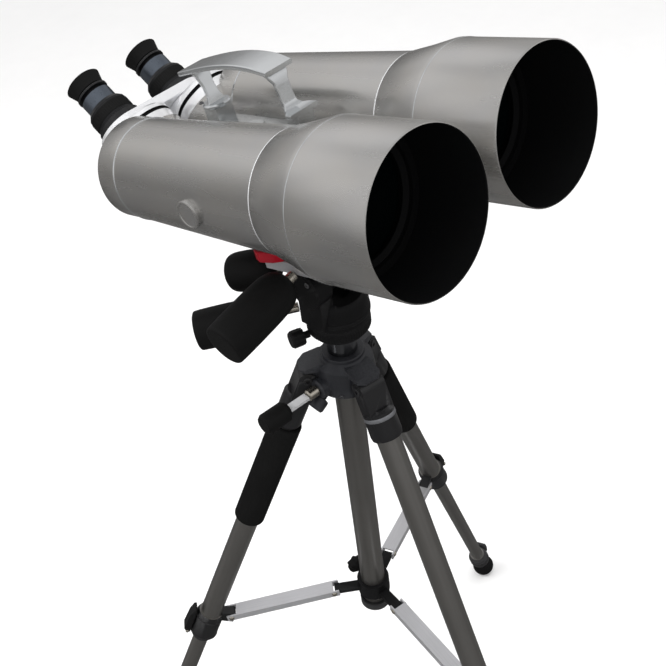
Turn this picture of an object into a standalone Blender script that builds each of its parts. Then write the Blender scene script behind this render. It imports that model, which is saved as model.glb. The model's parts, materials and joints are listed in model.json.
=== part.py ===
"""Astronomy binoculars on a three-way head and a geared-column tripod.

Constants are in millimetres and degrees; the meshes are in metres, +Z up.
The floor is z = 0 and the binoculars look along -Y, raised by AIM_UP, so +X is the
viewer's left.  Three frames are used:
  STAND  on the column axis at the level of the optical axis, Z up
  BINO   midway between the front rims, Y back along the barrels, Z square to them
  leg    on each leg's hinge, X to the outer side, the leg running along -Z
"""
import bpy
import bmesh
from itertools import count
from math import atan2, cos, degrees, hypot, pi, radians, sin, sqrt
from mathutils import Matrix, Vector

# ------------------------------------------------------------------ driving dimensions
MM = 0.001
FACET_SHARE = 0.5                   # share of the nominal facet count that is built
GAP = 0.3                           # clearance between neighbouring pieces

AXIS_X, AXIS_Y = -34.6, 52.2        # column axis in the world
OPT_H = 1013.4                      # optical axis level over the floor
AIM_UP = 13.406                     # barrels above the horizon
AXIS_BACK = 184.8                   # column axis behind the front rims, along the barrels

# barrels: y runs back from the front rim
HALF_SPACING = 69.0                 # barrel axis from the middle plane
HOOD_R, HOOD_L, HOOD_WALL = 62.1, 79.8, 1.5
HOOD_BORE_R = HOOD_R - HOOD_WALL
CONE_L = 51.8
CONE_END = HOOD_L + CONE_L
BODY_R_FRONT, BODY_R_REAR, BODY_END, BODY_WALL = 50.4, 44.0, 319.5, 2.4
BODY_SLOPE = (BODY_R_FRONT - BODY_R_REAR) / (BODY_END - CONE_END)
CAP_L = 27.0                        # rear housing behind the end of the body tube
LENS_R, LENS_CURVE_R = 52.3, 210.0
LENS_FRONT, LENS_BACK = 72.5, 85.9  # middle of each lens face
LENS_BACK_BULGE = 0.45              # sag of the back face as a share of the front's

# eyepiece group: across, up the inclined plane, then heights (_N) along its normal
EYE_TILT = 45.0
EYE_X, EYE_UP = 35.0, -276.0
TURRET_X, TURRET_UP, TURRET_R = 38.0, -251.5, 32.0
SEAT_N, DRUM_TOP_N, TURRET_TOP_N, PLATE_TOP_N, BODY_N = 262.0, 281.5, 289.7, 300.0, 307.3

# head
TILT_Z = -130.0                     # tilt axis in the STAND frame
TILT_Y_BINO = AXIS_BACK - TILT_Z * sin(radians(AIM_UP))
TILT_Z_BINO = TILT_Z * cos(radians(AIM_UP))
ROLL_Z_BINO = -104.5                # side-tilt axis

# tripod
SPLAY = 24.07                       # legs from the vertical
LEG_TURN = 19.4                     # azimuth of the first leg from +X
LEG_AZIMUTH = {"right": LEG_TURN + 120, "front": LEG_TURN + 240, "rear": LEG_TURN}
PIVOT_R, PIVOT_Z = 37.1, -243.0     # leg hinge
LEG_UP_R, LEG_MID_R, LEG_LOW_R = 11.9, 8.85, 7.0
LOCK_UP, LOCK_LOW = -388.0, -783.0  # lock collars in the leg frame
FOOT_L, FOOT_R = 828.6, 16.0        # ball centre along the leg, ball radius
EAR = 13.4                          # half width of the leg's hinge block
TONGUE = 6.0                        # half width of the crown tongue inside it
SLEEVE_R, COLUMN_R, COLUMN_BORE_R = 13.5, 11.2, 11.6
CRANK_AZIMUTH, CRANK_Z = 174.0, -249.0

# spreader
HUB_Z, HUB_PIVOT_R = -576.0, 40.0
HUB_KNOB_AZIMUTH = LEG_AZIMUTH["front"] - 180
LUG_L, LUG_IN = 370.0, 24.0         # outer pivot: along the leg, inward from its axis
LUG_HALF = 5.6                      # half width of the leg lugs and the hub lugs
BRACE_OUT_R = PIVOT_R + LUG_L * sin(radians(SPLAY)) - LUG_IN * cos(radians(SPLAY))
BRACE_OUT_Z = PIVOT_Z - LUG_L * cos(radians(SPLAY)) - LUG_IN * sin(radians(SPLAY))
BRACE_L = hypot(BRACE_OUT_R - HUB_PIVOT_R, HUB_Z - BRACE_OUT_Z)
BRACE_RISE = degrees(atan2(HUB_Z - BRACE_OUT_Z, BRACE_OUT_R - HUB_PIVOT_R))

# ------------------------------------------------------------------ scene reset
for old in list(bpy.data.objects):
    bpy.data.objects.remove(old, do_unlink=True)

# ------------------------------------------------------------------ materials
# key: (base colour, roughness, metallic)
FINISHES = {
    "silver_paint": ((0.42, 0.42, 0.41), 0.32, 0.85),
    "bright_alloy": ((0.80, 0.81, 0.83), 0.18, 1.0),
    "cast_alloy": ((0.50, 0.51, 0.51), 0.38, 0.9),
    "black_anodised": ((0.030, 0.031, 0.034), 0.45, 0.3),
    "grey_anodised": ((0.24, 0.26, 0.29), 0.35, 0.8),
    "glass": ((0.02, 0.025, 0.03), 0.03, 0.0),
    "rubber": ((0.015, 0.015, 0.015), 0.75, 0.0),
    "head_black": ((0.020, 0.020, 0.020), 0.55, 0.1),
    "red_plastic": ((0.42, 0.01, 0.015), 0.4, 0.0),
    "tube_alloy": ((0.30, 0.29, 0.27), 0.4, 0.85),
    "brace_alloy": ((0.60, 0.60, 0.62), 0.42, 0.7),
    "crown_grey": ((0.060, 0.060, 0.068), 0.5, 0.3),
    "foam": ((0.014, 0.014, 0.014), 0.95, 0.0),
    "steel": ((0.55, 0.53, 0.50), 0.3, 1.0),
}


def material(piece, finish):
    colour, roughness, metallic = FINISHES[finish]
    mat = bpy.data.materials.new(piece + "_" + finish)
    mat.use_nodes = True
    inputs = mat.node_tree.nodes["Principled BSDF"].inputs
    inputs["Base Color"].default_value = (*colour, 1.0)
    inputs["Roughness"].default_value = roughness
    inputs["Metallic"].default_value = metallic
    return mat


# ------------------------------------------------------------------ frames
def move(x, y, z):
    return Matrix.Translation(Vector((x, y, z)) * MM)


def turn(angle, axis):
    return Matrix.Rotation(radians(angle), 4, axis)


STAND = move(AXIS_X, AXIS_Y, OPT_H)
BINO = STAND @ turn(-AIM_UP, "X") @ move(0, -AXIS_BACK, 0)
ALONG_Y = turn(-90, "X")            # local Z runs along +Y
ALONG_X = turn(90, "Y")             # local Z runs along +X
# stand a flat outline upright: local x, y, z become Y, Z, X and X, Z, -Y
YZ_PLANE = Matrix(((0, 0, 1, 0), (1, 0, 0, 0), (0, 1, 0, 0), (0, 0, 0, 1)))
XZ_PLANE = Matrix(((1, 0, 0, 0), (0, 0, -1, 0), (0, 1, 0, 0), (0, 0, 0, 1)))


def aim(origin, direction):
    """STAND frame moved to origin, with local Z along direction."""
    rotation = Vector(direction).normalized().to_track_quat("Z", "Y")
    return STAND @ (Matrix.Translation(Vector(origin) * MM) @ rotation.to_matrix().to_4x4())


def outward(azimuth, radius, height):
    """Local Z points level and away from the column, starting at radius."""
    x, y = cos(radians(azimuth)), sin(radians(azimuth))
    return aim((radius * x, radius * y, height), (x, y, 0))


def facing(azimuth):
    """STAND frame with X towards azimuth."""
    return STAND @ turn(azimuth, "Z")


def inclined(across, up):
    """BINO frame on the eyepiece plane: local Z runs up the eyepiece axis."""
    tilt = radians(EYE_TILT)
    return BINO @ (move(across, -up * cos(tilt), up * sin(tilt)) @ turn(-EYE_TILT, "X"))


def barrel_axis(sign):
    return BINO @ move(sign * HALF_SPACING, 0, 0) @ ALONG_Y


def turret_axis(sign):
    return inclined(sign * TURRET_X, TURRET_UP)


def eye_axis(sign):
    return inclined(sign * EYE_X, EYE_UP)


# ------------------------------------------------------------------ mesh makers
def finish_mesh(bm, smooth_angle):
    bmesh.ops.remove_doubles(bm, verts=bm.verts, dist=1e-6)
    bmesh.ops.recalc_face_normals(bm, faces=bm.faces)
    mesh = bpy.data.meshes.new("m")
    bm.to_mesh(mesh)
    bm.free()
    if smooth_angle:
        mesh.shade_smooth()
        mesh.set_sharp_from_angle(angle=radians(smooth_angle))
    return mesh


def lathe(profile, facets=32):
    """Body turned round local Z from (radius, height) points."""
    bm = bmesh.new()
    verts = [bm.verts.new((r * MM, 0, z * MM)) for r, z in profile]
    edges = [bm.edges.new(pair) for pair in zip(verts, verts[1:])]
    if not (profile[0][0] == 0 and profile[-1][0] == 0):
        edges.append(bm.edges.new((verts[-1], verts[0])))
    steps = max(12, 4 * round(facets * FACET_SHARE / 4))
    bmesh.ops.spin(bm, geom=verts + edges, cent=(0, 0, 0), axis=(0, 0, 1), dvec=(0, 0, 0),
                   angle=2 * pi, steps=steps, use_merge=True, use_duplicate=False)
    return finish_mesh(bm, smooth_angle=32)


def rod(radius, z0, z1, facets=24, chamfer=0.0):
    if chamfer:
        face_r = radius - chamfer
        return lathe([(0, z0), (face_r, z0), (radius, z0 + chamfer), (radius, z1 - chamfer),
                      (face_r, z1), (0, z1)], facets)
    return lathe([(0, z0), (radius, z0), (radius, z1), (0, z1)], facets)


def tube(outer_r, inner_r, z0, z1, facets=24):
    return lathe([(inner_r, z0), (outer_r, z0), (outer_r, z1), (inner_r, z1)], facets)


def box(x_span, y_span, z_span):
    bm = bmesh.new()
    bmesh.ops.create_cube(bm, size=1.0)
    spans = (x_span, y_span, z_span)
    for v in bm.verts:
        v.co = Vector([span[0] if c < 0 else span[1] for c, span in zip(v.co, spans)]) * MM
    return finish_mesh(bm, smooth_angle=0)


def both(half):
    """Span reaching half to either side of zero."""
    return (-half, half)


def plate(outline, z0, z1):
    """Flat plate from an outline in local XY."""
    bm = bmesh.new()
    face = bm.faces.new([bm.verts.new((x * MM, y * MM, z0 * MM)) for x, y in outline])
    extruded = bmesh.ops.extrude_face_region(bm, geom=[face])["geom"]
    bmesh.ops.translate(bm, vec=(0, 0, (z1 - z0) * MM),
                        verts=[g for g in extruded if isinstance(g, bmesh.types.BMVert)])
    return finish_mesh(bm, smooth_angle=25)


def arc(cx, cy, radius, start, end, steps):
    angles = [radians(start + (end - start) * i / steps) for i in range(steps + 1)]
    return [(cx + radius * cos(angle), cy + radius * sin(angle)) for angle in angles]


def strip(path, thickness):
    """Outline of a strip centred on a path."""
    left, right = [], []
    for i, (x, y) in enumerate(path):
        before = path[max(i - 1, 0)]
        after = path[min(i + 1, len(path) - 1)]
        along = Vector((after[0] - before[0], after[1] - before[1])).normalized()
        offset = Vector((-along.y, along.x)) * thickness / 2
        left.append((x + offset.x, y + offset.y))
        right.append((x - offset.x, y - offset.y))
    return left + right[::-1]


# ------------------------------------------------------------------ object makers
def link(obj, matrix, parent=None):
    bpy.context.scene.collection.objects.link(obj)
    obj.matrix_world = matrix
    if parent:
        obj.parent = parent
        obj.matrix_parent_inverse = parent.matrix_world.inverted()
    return obj


def pivot(name, matrix):
    empty = bpy.data.objects.new(name, None)
    empty.empty_display_size = 0.02
    return link(empty, matrix)


def solid(name, mesh, matrix, finish, parent):
    mesh.name = name
    mesh.materials.append(material(name, finish))
    return link(bpy.data.objects.new(name, mesh), matrix, parent)


tool_numbers = count(1)


def boolean(target, mesh, matrix, operation):
    """Combine target with a hidden tool body."""
    tool = bpy.data.objects.new("tool_%03d" % next(tool_numbers), mesh)
    tool.hide_render = True
    tool.display_type = "WIRE"
    link(tool, matrix, target.parent)
    modifier = target.modifiers.new(operation.lower(), "BOOLEAN")
    modifier.operation = operation
    modifier.solver = "EXACT"
    modifier.object = tool


def add(target, mesh, matrix):
    boolean(target, mesh, matrix, "UNION")


def cut(target, mesh, matrix):
    boolean(target, mesh, matrix, "DIFFERENCE")


# ------------------------------------------------------------------ joints
root = pivot("tripod_axis", STAND)
column_slide = pivot("column_slide", STAND @ move(0, 0, -230))
pan_axis = pivot("pan_axis", STAND @ move(0, 0, -215))
tilt_axis = pivot("tilt_axis", STAND @ move(0, 0, TILT_Z) @ turn(-AIM_UP, "X"))
roll_axis = pivot("roll_axis", BINO @ move(0, TILT_Y_BINO, ROLL_Z_BINO))


# ================================================================== barrels
def body_radius(y):
    return BODY_R_FRONT - BODY_SLOPE * (y - CONE_END)


def dew_shield(side, axis):
    """Plain tube with a rounded front lip."""
    solid("dew_shield_" + side, lathe([
        (HOOD_BORE_R, 0.6), (HOOD_R - 0.9, 0), (HOOD_R - 0.4, 0.2), (HOOD_R, 0.9),
        (HOOD_R, HOOD_L - GAP), (HOOD_BORE_R, HOOD_L - GAP)], 48),
        axis, "silver_paint", roll_axis)


def objective_cone(side, axis):
    """Front spigot and lens cell, then the taper down to the body tube."""
    spigot_r, spigot_front = HOOD_BORE_R - GAP, 66.0
    bend = HOOD_L + 26
    solid("objective_cone_" + side, lathe([
        (54.0, spigot_front), (spigot_r, spigot_front), (spigot_r, HOOD_L),
        (HOOD_R, HOOD_L), (HOOD_R, HOOD_L + 4), (HOOD_R - 5.5, bend),
        (BODY_R_FRONT + 0.9, CONE_END - 1.2), (BODY_R_FRONT + 0.2, CONE_END - 0.2),
        (BODY_R_FRONT - 3.0, CONE_END - 0.2), (50.5, bend), (50.5, 86.2), (53.0, 86.2),
        (53.0, 72.0), (54.0, 72.0)], 48), axis, "silver_paint", roll_axis)


def objective_lens(side, axis):
    """Doublet modelled as one lens body."""
    rings = [(LENS_R * i / 3, LENS_CURVE_R - sqrt(LENS_CURVE_R ** 2 - (LENS_R * i / 3) ** 2))
             for i in range(4)]
    front = [(r, LENS_FRONT + sag) for r, sag in rings]
    back = [(r, LENS_BACK - sag * LENS_BACK_BULGE) for r, sag in reversed(rings)]
    solid("objective_lens_" + side, lathe(front + back, 40), axis, "glass", roll_axis)


def barrel(side, sign, axis):
    """Tapered body tube with a round cap on its outer side."""
    tube_body = solid("barrel_" + side, lathe([
        (BODY_R_FRONT - BODY_WALL, CONE_END + 0.1), (BODY_R_FRONT, CONE_END + 0.1),
        (BODY_R_REAR, BODY_END - 0.2), (BODY_R_REAR - BODY_WALL, BODY_END - 0.2)], 48),
        axis, "silver_paint", roll_axis)
    cap_y, cap_z, cap_r = 213.0, -3.0, 12.2
    surface = body_radius(cap_y)
    add(tube_body, rod(cap_r, surface - 1.2, surface + 3.4, 24, chamfer=0.8),
        BINO @ move(sign * HALF_SPACING, cap_y, cap_z) @ ALONG_X
        @ turn(180 if sign < 0 else 0, "X"))


def rear_housing(side, sign, axis):
    """Rear cap with an inclined round seat for the turret and a pocket for the prism."""
    inner_r, end = BODY_R_REAR - 3.2, BODY_END + CAP_L
    housing = solid("rear_housing_" + side, lathe([
        (0, BODY_END + 3), (inner_r, BODY_END + 3), (inner_r, BODY_END + 0.1),
        (BODY_R_REAR, BODY_END + 0.1), (BODY_R_REAR, end - 3),
        (BODY_R_REAR - 1.0, end - 0.9), (inner_r, end), (0, end)], 48),
        axis, "silver_paint", roll_axis)
    seat = turret_axis(sign)
    add(housing, rod(TURRET_R + 1.6, SEAT_N - 30, SEAT_N, 40), seat)
    # keep the seat out of the body tube
    clear_l, clear_r = 70, BODY_R_REAR + 0.5
    cut(housing, lathe([
        (0, BODY_END - clear_l), (clear_r + BODY_SLOPE * clear_l, BODY_END - clear_l),
        (clear_r, BODY_END - 0.2), (0, BODY_END - 0.2)], 48), axis)
    cut(housing, rod(TURRET_R + 0.8, SEAT_N, SEAT_N + 60, 40), seat)
    cut(housing, box(both(17), both(17), (BODY_END - 5, BODY_END + 20)), axis)


def prism(side, axis):
    """Square glass block with one corner cut off."""
    half, cut_at = 15.5, 6
    solid("prism_" + side, plate(
        [(-half, -half), (half, -half), (half, cut_at), (cut_at, half), (-half, half)],
        BODY_END + 1, BODY_END + 19), axis, "glass", roll_axis)


# ================================================================== eyepieces
def eyepiece_turret(side, sign):
    """Turning drum, neck through the bridge plate and focuser body, in one."""
    seat, eye = turret_axis(sign), eye_axis(sign)
    parent = pivot("turret_axis_" + side, seat @ move(0, 0, TURRET_TOP_N))
    groove_r = TURRET_R - 1.3
    drum = solid("eyepiece_turret_" + side, lathe([
        (0, SEAT_N + GAP), (TURRET_R, SEAT_N + GAP), (TURRET_R, SEAT_N + 9.4),
        (groove_r, SEAT_N + 10), (groove_r, SEAT_N + 12.4), (TURRET_R, SEAT_N + 13),
        (TURRET_R, DRUM_TOP_N - 3), (TURRET_R - 3, DRUM_TOP_N), (0, DRUM_TOP_N)], 40),
        seat, "bright_alloy", parent)
    # offset boss under the bridge plate, then the bore under the eyepiece
    add(drum, rod(24.0, SEAT_N + 9, TURRET_TOP_N, 32), eye)
    cut(drum, rod(9.9, TURRET_TOP_N - 2.5, BODY_N + 25, 24), eye)
    add(drum, lathe([
        (0, TURRET_TOP_N - 6), (12.0, TURRET_TOP_N - 6), (12.0, PLATE_TOP_N + GAP),
        (22.6, PLATE_TOP_N + GAP), (22.6, BODY_N - 1.6), (21.2, BODY_N - 1.0),
        (21.2, BODY_N), (20.3, BODY_N + 0.8), (20.3, BODY_N + 15.5), (17.6, BODY_N + 19),
        (9.8, BODY_N + 19), (9.8, TURRET_TOP_N - 2.4), (0, TURRET_TOP_N - 2.4)], 32), eye)


# (radius, height over BODY_N)
EYEPIECE_TOP = [(9.4, 23.5), (12.0, 23.5), (12.0, 36.2), (16.4, 36.2), (16.4, 38.2),
                (12.6, 39.0), (12.6, 45), (10.4, 45), (10.4, 40.4), (9.0, 40.4),
                (9.0, 27), (7.0, 27)]
EYE_LENS = [(0, 40.7), (10.0, 40.7), (10.0, 42.4), (6.0, 43.6), (0, 44.0)]
EYECUP = [(13.0, 39.7), (15.2, 39.7), (15.8, 43), (17.6, 48.6), (18.4, 51.2),
          (17.4, 52.0), (14.6, 49.5), (13.0, 46)]


def over_body(profile):
    return [(r, BODY_N + z) for r, z in profile]


def eyepiece(side, sign):
    """Focus ring, eyepiece barrel, eye lens and rubber eyecup."""
    eye = eye_axis(sign)
    parent = pivot("focus_axis_" + side, eye @ move(0, 0, BODY_N + 19))
    solid("focus_ring_" + side, tube(15.7, 12.4, BODY_N + 19.3, BODY_N + 32.5, 28),
          eye, "grey_anodised", parent)
    bottom = [(7.0, TURRET_TOP_N + 2), (9.4, TURRET_TOP_N + 2)]
    solid("eyepiece_" + side, lathe(bottom + over_body(EYEPIECE_TOP), 28),
          eye, "black_anodised", parent)
    solid("eye_lens_" + side, lathe(over_body(EYE_LENS), 24), eye, "glass", parent)
    solid("eyecup_" + side, lathe(over_body(EYECUP), 28), eye, "rubber", parent)


def bridge_plate():
    """Round-ended plate across both turrets, with holes for their necks."""
    end_y, end_r = 2.0, 26.0
    outline = arc(-EYE_X, end_y, end_r, 90, 270, 12) + arc(EYE_X, end_y, end_r, -90, 90, 12)
    bridge = solid("bridge_plate", plate(outline, TURRET_TOP_N + GAP, PLATE_TOP_N),
                   inclined(0, EYE_UP), "bright_alloy", roll_axis)
    for sign in (1, -1):
        cut(bridge, rod(16.6, TURRET_TOP_N - 5, PLATE_TOP_N + 5, 28), eye_axis(sign))


# ================================================================== casting and handle
FOOT_BASE = -84.4                   # underside of the tripod foot, in the BINO frame


def centre_casting():
    """Block between the barrels, with the tripod foot under it and a round boss on top."""
    casting = solid("centre_casting", box(both(34), (178, 317), (-26, 27.5)),
                    BINO, "cast_alloy", roll_axis)
    add(casting, box(both(20), (187, 243), (FOOT_BASE, -20)), BINO)
    add(casting, rod(15.5, 20, 30.0, 24), BINO @ move(0, 268, 0))
    start, end, clearance = 150, 400, 0.35
    front_r = body_radius(start) + clearance
    rear_r = body_radius(BODY_END) + clearance
    for sign in (1, -1):
        cut(casting, lathe([(0, start), (front_r, start), (rear_r, BODY_END),
                            (rear_r, end), (0, end)], 48), barrel_axis(sign))
        cut(casting, rod(TURRET_R + 2.2, SEAT_N - 60, SEAT_N + 60, 40), turret_axis(sign))


# (y, z) in the BINO frame
HANDLE_FRONT = [(184, 29.9), (194, 29.9), (198.5, 32.5), (200, 40), (200.4, 50), (202, 60),
                (204, 66)]
HANDLE_REAR = [(309.5, 65.5), (305, 50), (302, 40), (299.5, 33)]
HANDLE_THICK = 4.6


def carry_handle():
    """Flat strap bent up at the front and along the top, with a rear leg and its foot."""
    arch = [(207 + 113 * i / 10, 68.5 + 6.5 * sin(pi * (i / 10) ** 0.8) - 5.0 * i / 10)
            for i in range(1, 11)]
    handle = solid("carry_handle", plate(strip(HANDLE_FRONT + arch, HANDLE_THICK), -16, 16),
                   BINO @ YZ_PLANE, "cast_alloy", roll_axis)
    add(handle, plate(strip(HANDLE_REAR, HANDLE_THICK), -12, 12), BINO @ YZ_PLANE)
    add(handle, box(both(14), (284, 313), (30.4, 34.6)), BINO)


# ================================================================== head
RELEASE_BASE = -90.6                # underside of the quick-release plate
PLATFORM_Y = (184.5, 245.5)
# (x, y) in the BINO frame
LATCH = [(-27, 234), (-27, 244.5), (-39, 250), (-50, 248), (-53, 240), (-50, 226),
         (-45, 218), (-38, 218), (-37, 234)]


def release_clamp():
    """Plate under the foot, platform with the side-tilt hub, and the latch."""
    solid("quick_release_plate", box(both(25), (186, 244), (RELEASE_BASE, FOOT_BASE - GAP)),
          BINO, "cast_alloy", roll_axis)
    platform = solid("side_tilt_platform",
                     box(both(44), PLATFORM_Y, (-101.5, RELEASE_BASE - GAP)),
                     BINO, "brace_alloy", roll_axis)
    add(platform, rod(8.0, *PLATFORM_Y, 24), BINO @ move(0, 0, ROLL_Z_BINO) @ ALONG_Y)
    latch_axis = pivot("latch_axis", BINO @ move(-33, 240, -86))
    solid("release_latch", plate(LATCH, -90.4, -80.0), BINO, "red_plastic", latch_axis)


def tilt_block():
    """Tilt barrel carrying a cradle with a wall before and behind the platform."""
    half, front, rear, base, wall_top = 16.5, 176, 254, -120.5, -97
    block = solid("tilt_block", rod(12.0, -half, half, 28),
                  BINO @ move(0, TILT_Y_BINO, TILT_Z_BINO) @ ALONG_X, "head_black", tilt_axis)
    add(block, box(both(half), (front, rear), (base, -113)), BINO)
    add(block, box(both(half), (front, 184.1), (base, wall_top)), BINO)
    add(block, box(both(half), (245.9, rear), (base, wall_top)), BINO)


# name, pivot, start and end in the STAND frame, grip radius, stem radius,
# bare stem as a share of the length, length of the rounded end
GRIPS = [
    ("side_tilt_grip", "side_grip_axis", (-45.5, 0, -104.4), (-133, 0, -124.0),
     20.5, 5.0, 0.10, 6.0),
    ("tilt_grip", "tilt_grip_axis", (-17.5, 44.6, -130.0), (-38, 93, -148),
     19.0, 4.5, 0.12, 14.0),
    ("pan_grip", "pan_grip_axis", (-25.6, 23.6, -164.0), (-94.5, 89.5, -178),
     19.0, 4.5, 0.32, 4.0),
]


def clamp_grip(name, pivot_name, start, end, grip_r, stem_r, stem_share, dome):
    """Stem with a fat grip, turning on its own axis."""
    along = Vector(end) - Vector(start)
    length = along.length
    stem = length * stem_share
    matrix = aim(start, along)
    mesh = lathe([
        (0, 0), (stem_r, 0), (stem_r, stem), (grip_r * 0.62, stem), (grip_r * 0.9, stem + 9),
        (grip_r, stem + 22), (grip_r, length - dome), (grip_r * 0.82, length - dome * 0.25),
        (grip_r * 0.6, length), (0, length)], 28)
    solid(name, mesh, matrix, "rubber", pivot(pivot_name, matrix))


# cheek span in x, span in x of the post below it
CHEEKS = [((-36.5, -17.2), (-32.5, -17.22)), ((17.2, 31.0), (17.22, 28.0))]


def pan_yoke():
    """Drum with two cheeks round the tilt block."""
    yoke = solid("pan_yoke", lathe([
        (0, -177.3), (29.0, -177.3), (30.0, -176.3), (30.2, -166), (29.4, -158),
        (27.4, -152.5), (24, -149.5), (0, -149.5)], 40), STAND, "head_black", pan_axis)
    for cheek, post in CHEEKS:
        add(yoke, rod(17.6, *cheek, 32, chamfer=1.5), STAND @ move(0, 0, TILT_Z) @ ALONG_X)
        add(yoke, box(post, both(14.0), (-172, TILT_Z)), STAND)
    cut(yoke, box(both(17.0), both(60), (-150.5, -100)), STAND)
    cut(yoke, rod(14.0, -158, -100, 28), STAND)


def pan_base():
    """Lower pan drum and its lock knob."""
    solid("pan_base", lathe([
        (0, -194.5), (22.0, -194.5), (26.5, -193.0), (29.2, -189), (29.6, -180.0),
        (28.6, -177.6), (0, -177.6)], 36), STAND, "head_black", column_slide)
    knob = outward(azimuth=158, radius=30.4, height=-188.0)
    solid("pan_lock_knob", lathe([
        (0, 0), (3.5, 0), (3.5, 5), (8.0, 6), (8.5, 9), (8.5, 17), (7, 19), (0, 19)], 20),
        knob, "head_black", pivot("pan_knob_axis", knob))


# ================================================================== column and crown
def centre_column():
    solid("centre_column", lathe([
        (0, -600), (COLUMN_R, -600), (COLUMN_R, -219.0), (14.5, -218.6), (14.5, -197.5),
        (17.5, -196.0), (17.5, -194.8), (0, -194.8)], 28),
        STAND, "black_anodised", column_slide)


# (radius, z)
CROWN = [(COLUMN_BORE_R, -264), (23, -264), (28.5, -259), (29.5, -245), (28.0, -230),
         (21.5, -224.0), (20.7, -223.2), (20.7, -220.2), (19.8, -219.3),
         (COLUMN_BORE_R, -219.3)]
CROWN_ROOF = [(14, -240), (25.8, -240), (25.8, -233.9), (43.5, -233.9), (44.5, -232.6),
              (37, -229.6), (23, -225.0), (14, -225.0)]
CROWN_TONGUE = [(22, -258), (29, -256), (34, -253.5), (40, -252.5), (44.5, -249.5),
                (46, -244), (45, -238), (42, -233.5), (22, -233.0)]
CROWN_KNOB = [(0, 0), (3.2, 0), (3.2, 12), (7.0, 13), (7.6, 16), (7.6, 23), (6.4, 25), (0, 25)]


def crown(crank):
    """Hub of the legs: a roof and a tongue for each leg, crank boss, column lock knob."""
    body = solid("crown", lathe(CROWN, 36), STAND, "crown_grey", root)
    for azimuth in LEG_AZIMUTH.values():
        add(body, plate(CROWN_ROOF, 0.2 - EAR, EAR - 0.2), facing(azimuth) @ XZ_PLANE)
    add(body, rod(9.8, 14, 36, 24, chamfer=1.5), crank)
    add(body, lathe(CROWN_KNOB, 20), aim((-21.0, 1.5, -256.0), (-1.0, 0.07, -0.55)))
    for azimuth in LEG_AZIMUTH.values():
        cut(body, box((26.0, 80), both(EAR + 0.4), (-300, -234.2)), facing(azimuth))
        add(body, plate(CROWN_TONGUE, -TONGUE, TONGUE), facing(azimuth) @ XZ_PLANE)
    # column and crank bores
    cut(body, rod(COLUMN_BORE_R, -310, -200, 28), STAND)
    cut(body, rod(4.4, 14.5, 60, 20), crank)


def column_sleeve():
    """Tube below the crown with a collar at its lower end."""
    solid("column_sleeve", lathe([
        (COLUMN_BORE_R, -264.3), (SLEEVE_R, -264.3), (SLEEVE_R, -596), (17.0, -596),
        (17.0, -606), (COLUMN_BORE_R, -606)], 28), STAND, "tube_alloy", root)


def crank_handle(crank):
    """Shaft, folding arm and knob, all along the crank axis."""
    solid("crank_shaft", lathe([
        (0, 17), (4.0, 17), (4.0, 37), (5.6, 37.4), (5.6, 47), (4.6, 48), (0, 48)], 20),
        crank, "steel", pivot("crank_axis", crank))
    fold = pivot("crank_fold_axis", crank @ move(0, 0, 52))
    arm = solid("crank_arm", box(both(4.2), both(1.6), (48.6, 72)),
                crank, "bright_alloy", fold)
    add(arm, rod(3.2, 70, 84, 16), crank)
    solid("crank_knob", lathe([
        (0, 85), (3.6, 85), (3.6, 72.6), (8.0, 72.6), (10.4, 76), (10.4, 98), (8.6, 101),
        (0, 101)], 20), crank, "rubber", fold)


# ================================================================== legs
# (radius, z) of the socket round the top of the leg tube
SOCKET_TOP = -23
SOCKET_SHORT = [(12.0, SOCKET_TOP), (15.4, -26), (15.8, -50), (15.0, -54)]
SOCKET_LONG = [(12.0, SOCKET_TOP), (14.4, -27), (14.4, -62), (13.2, -65)]
# (x, height over the upper lock)
LEVER = [(16.4, -16), (19.5, -18), (24.5, -12), (23.0, 12), (20.0, 22), (17.0, 22), (16.2, 8)]


def leg_upper(name, leg, parent):
    """Hinge block, socket, upper tube with its lock collar, and the brace lug."""
    upper = solid("leg_upper_" + name, rod(8.6, -EAR, EAR, 24), leg @ turn(90, "X"),
                  "tube_alloy", parent)
    add(upper, box((-8.0, 8.4), both(EAR - 0.02), (-28, -1)), leg)
    cut(upper, box(both(30), both(TONGUE + 0.4), (-11.6, 20)), leg)
    socket = SOCKET_SHORT if name == "front" else SOCKET_LONG
    bore_r = LEG_MID_R + GAP
    add(upper, lathe([(0, SOCKET_TOP)] + socket + [
        (LEG_UP_R, socket[-1][1]), (LEG_UP_R, LOCK_UP + 19), (13.6, LOCK_UP + 19),
        (15.6, LOCK_UP + 12), (15.6, LOCK_UP - 16), (13.0, LOCK_UP - 22),
        (bore_r, LOCK_UP - 22), (bore_r, -68), (0, -68)], 24), leg)
    add(upper, box((-LUG_IN - 4.0, -10.4), both(LUG_HALF), (-LUG_L - 9, -LUG_L + 4.0)), leg)
    if name != "front":
        solid("leg_foam_" + name, tube(16.2, LEG_UP_R + GAP, -206, -66.5, 24),
              leg, "foam", parent)


def leg_lever(name, leg):
    """Lever on the outer side of the upper lock."""
    parent = pivot("lever_axis_" + name, leg @ move(20.2, 0, LOCK_UP - 14))
    solid("leg_lever_" + name, plate([(x, LOCK_UP + z) for x, z in LEVER], -6.5, 6.5),
          leg @ XZ_PLANE, "head_black", parent)


def leg_middle(name, leg):
    """Middle tube with the lower lock collar and a block on its outer side."""
    parent = pivot("leg_middle_slide_" + name, leg @ move(0, 0, LOCK_UP))
    bore_r = LEG_LOW_R + GAP
    middle = solid("leg_middle_" + name, lathe([
        (bore_r, -330), (LEG_MID_R, -330), (LEG_MID_R, LOCK_LOW + 20), (10.6, LOCK_LOW + 20),
        (12.8, LOCK_LOW + 14), (12.8, LOCK_LOW - 13), (11.0, LOCK_LOW - 17),
        (bore_r, LOCK_LOW - 17)], 24), leg, "tube_alloy", parent)
    add(middle, box((10, 16.5), both(5.5), (LOCK_LOW - 14, LOCK_LOW + 14)), leg)


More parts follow.
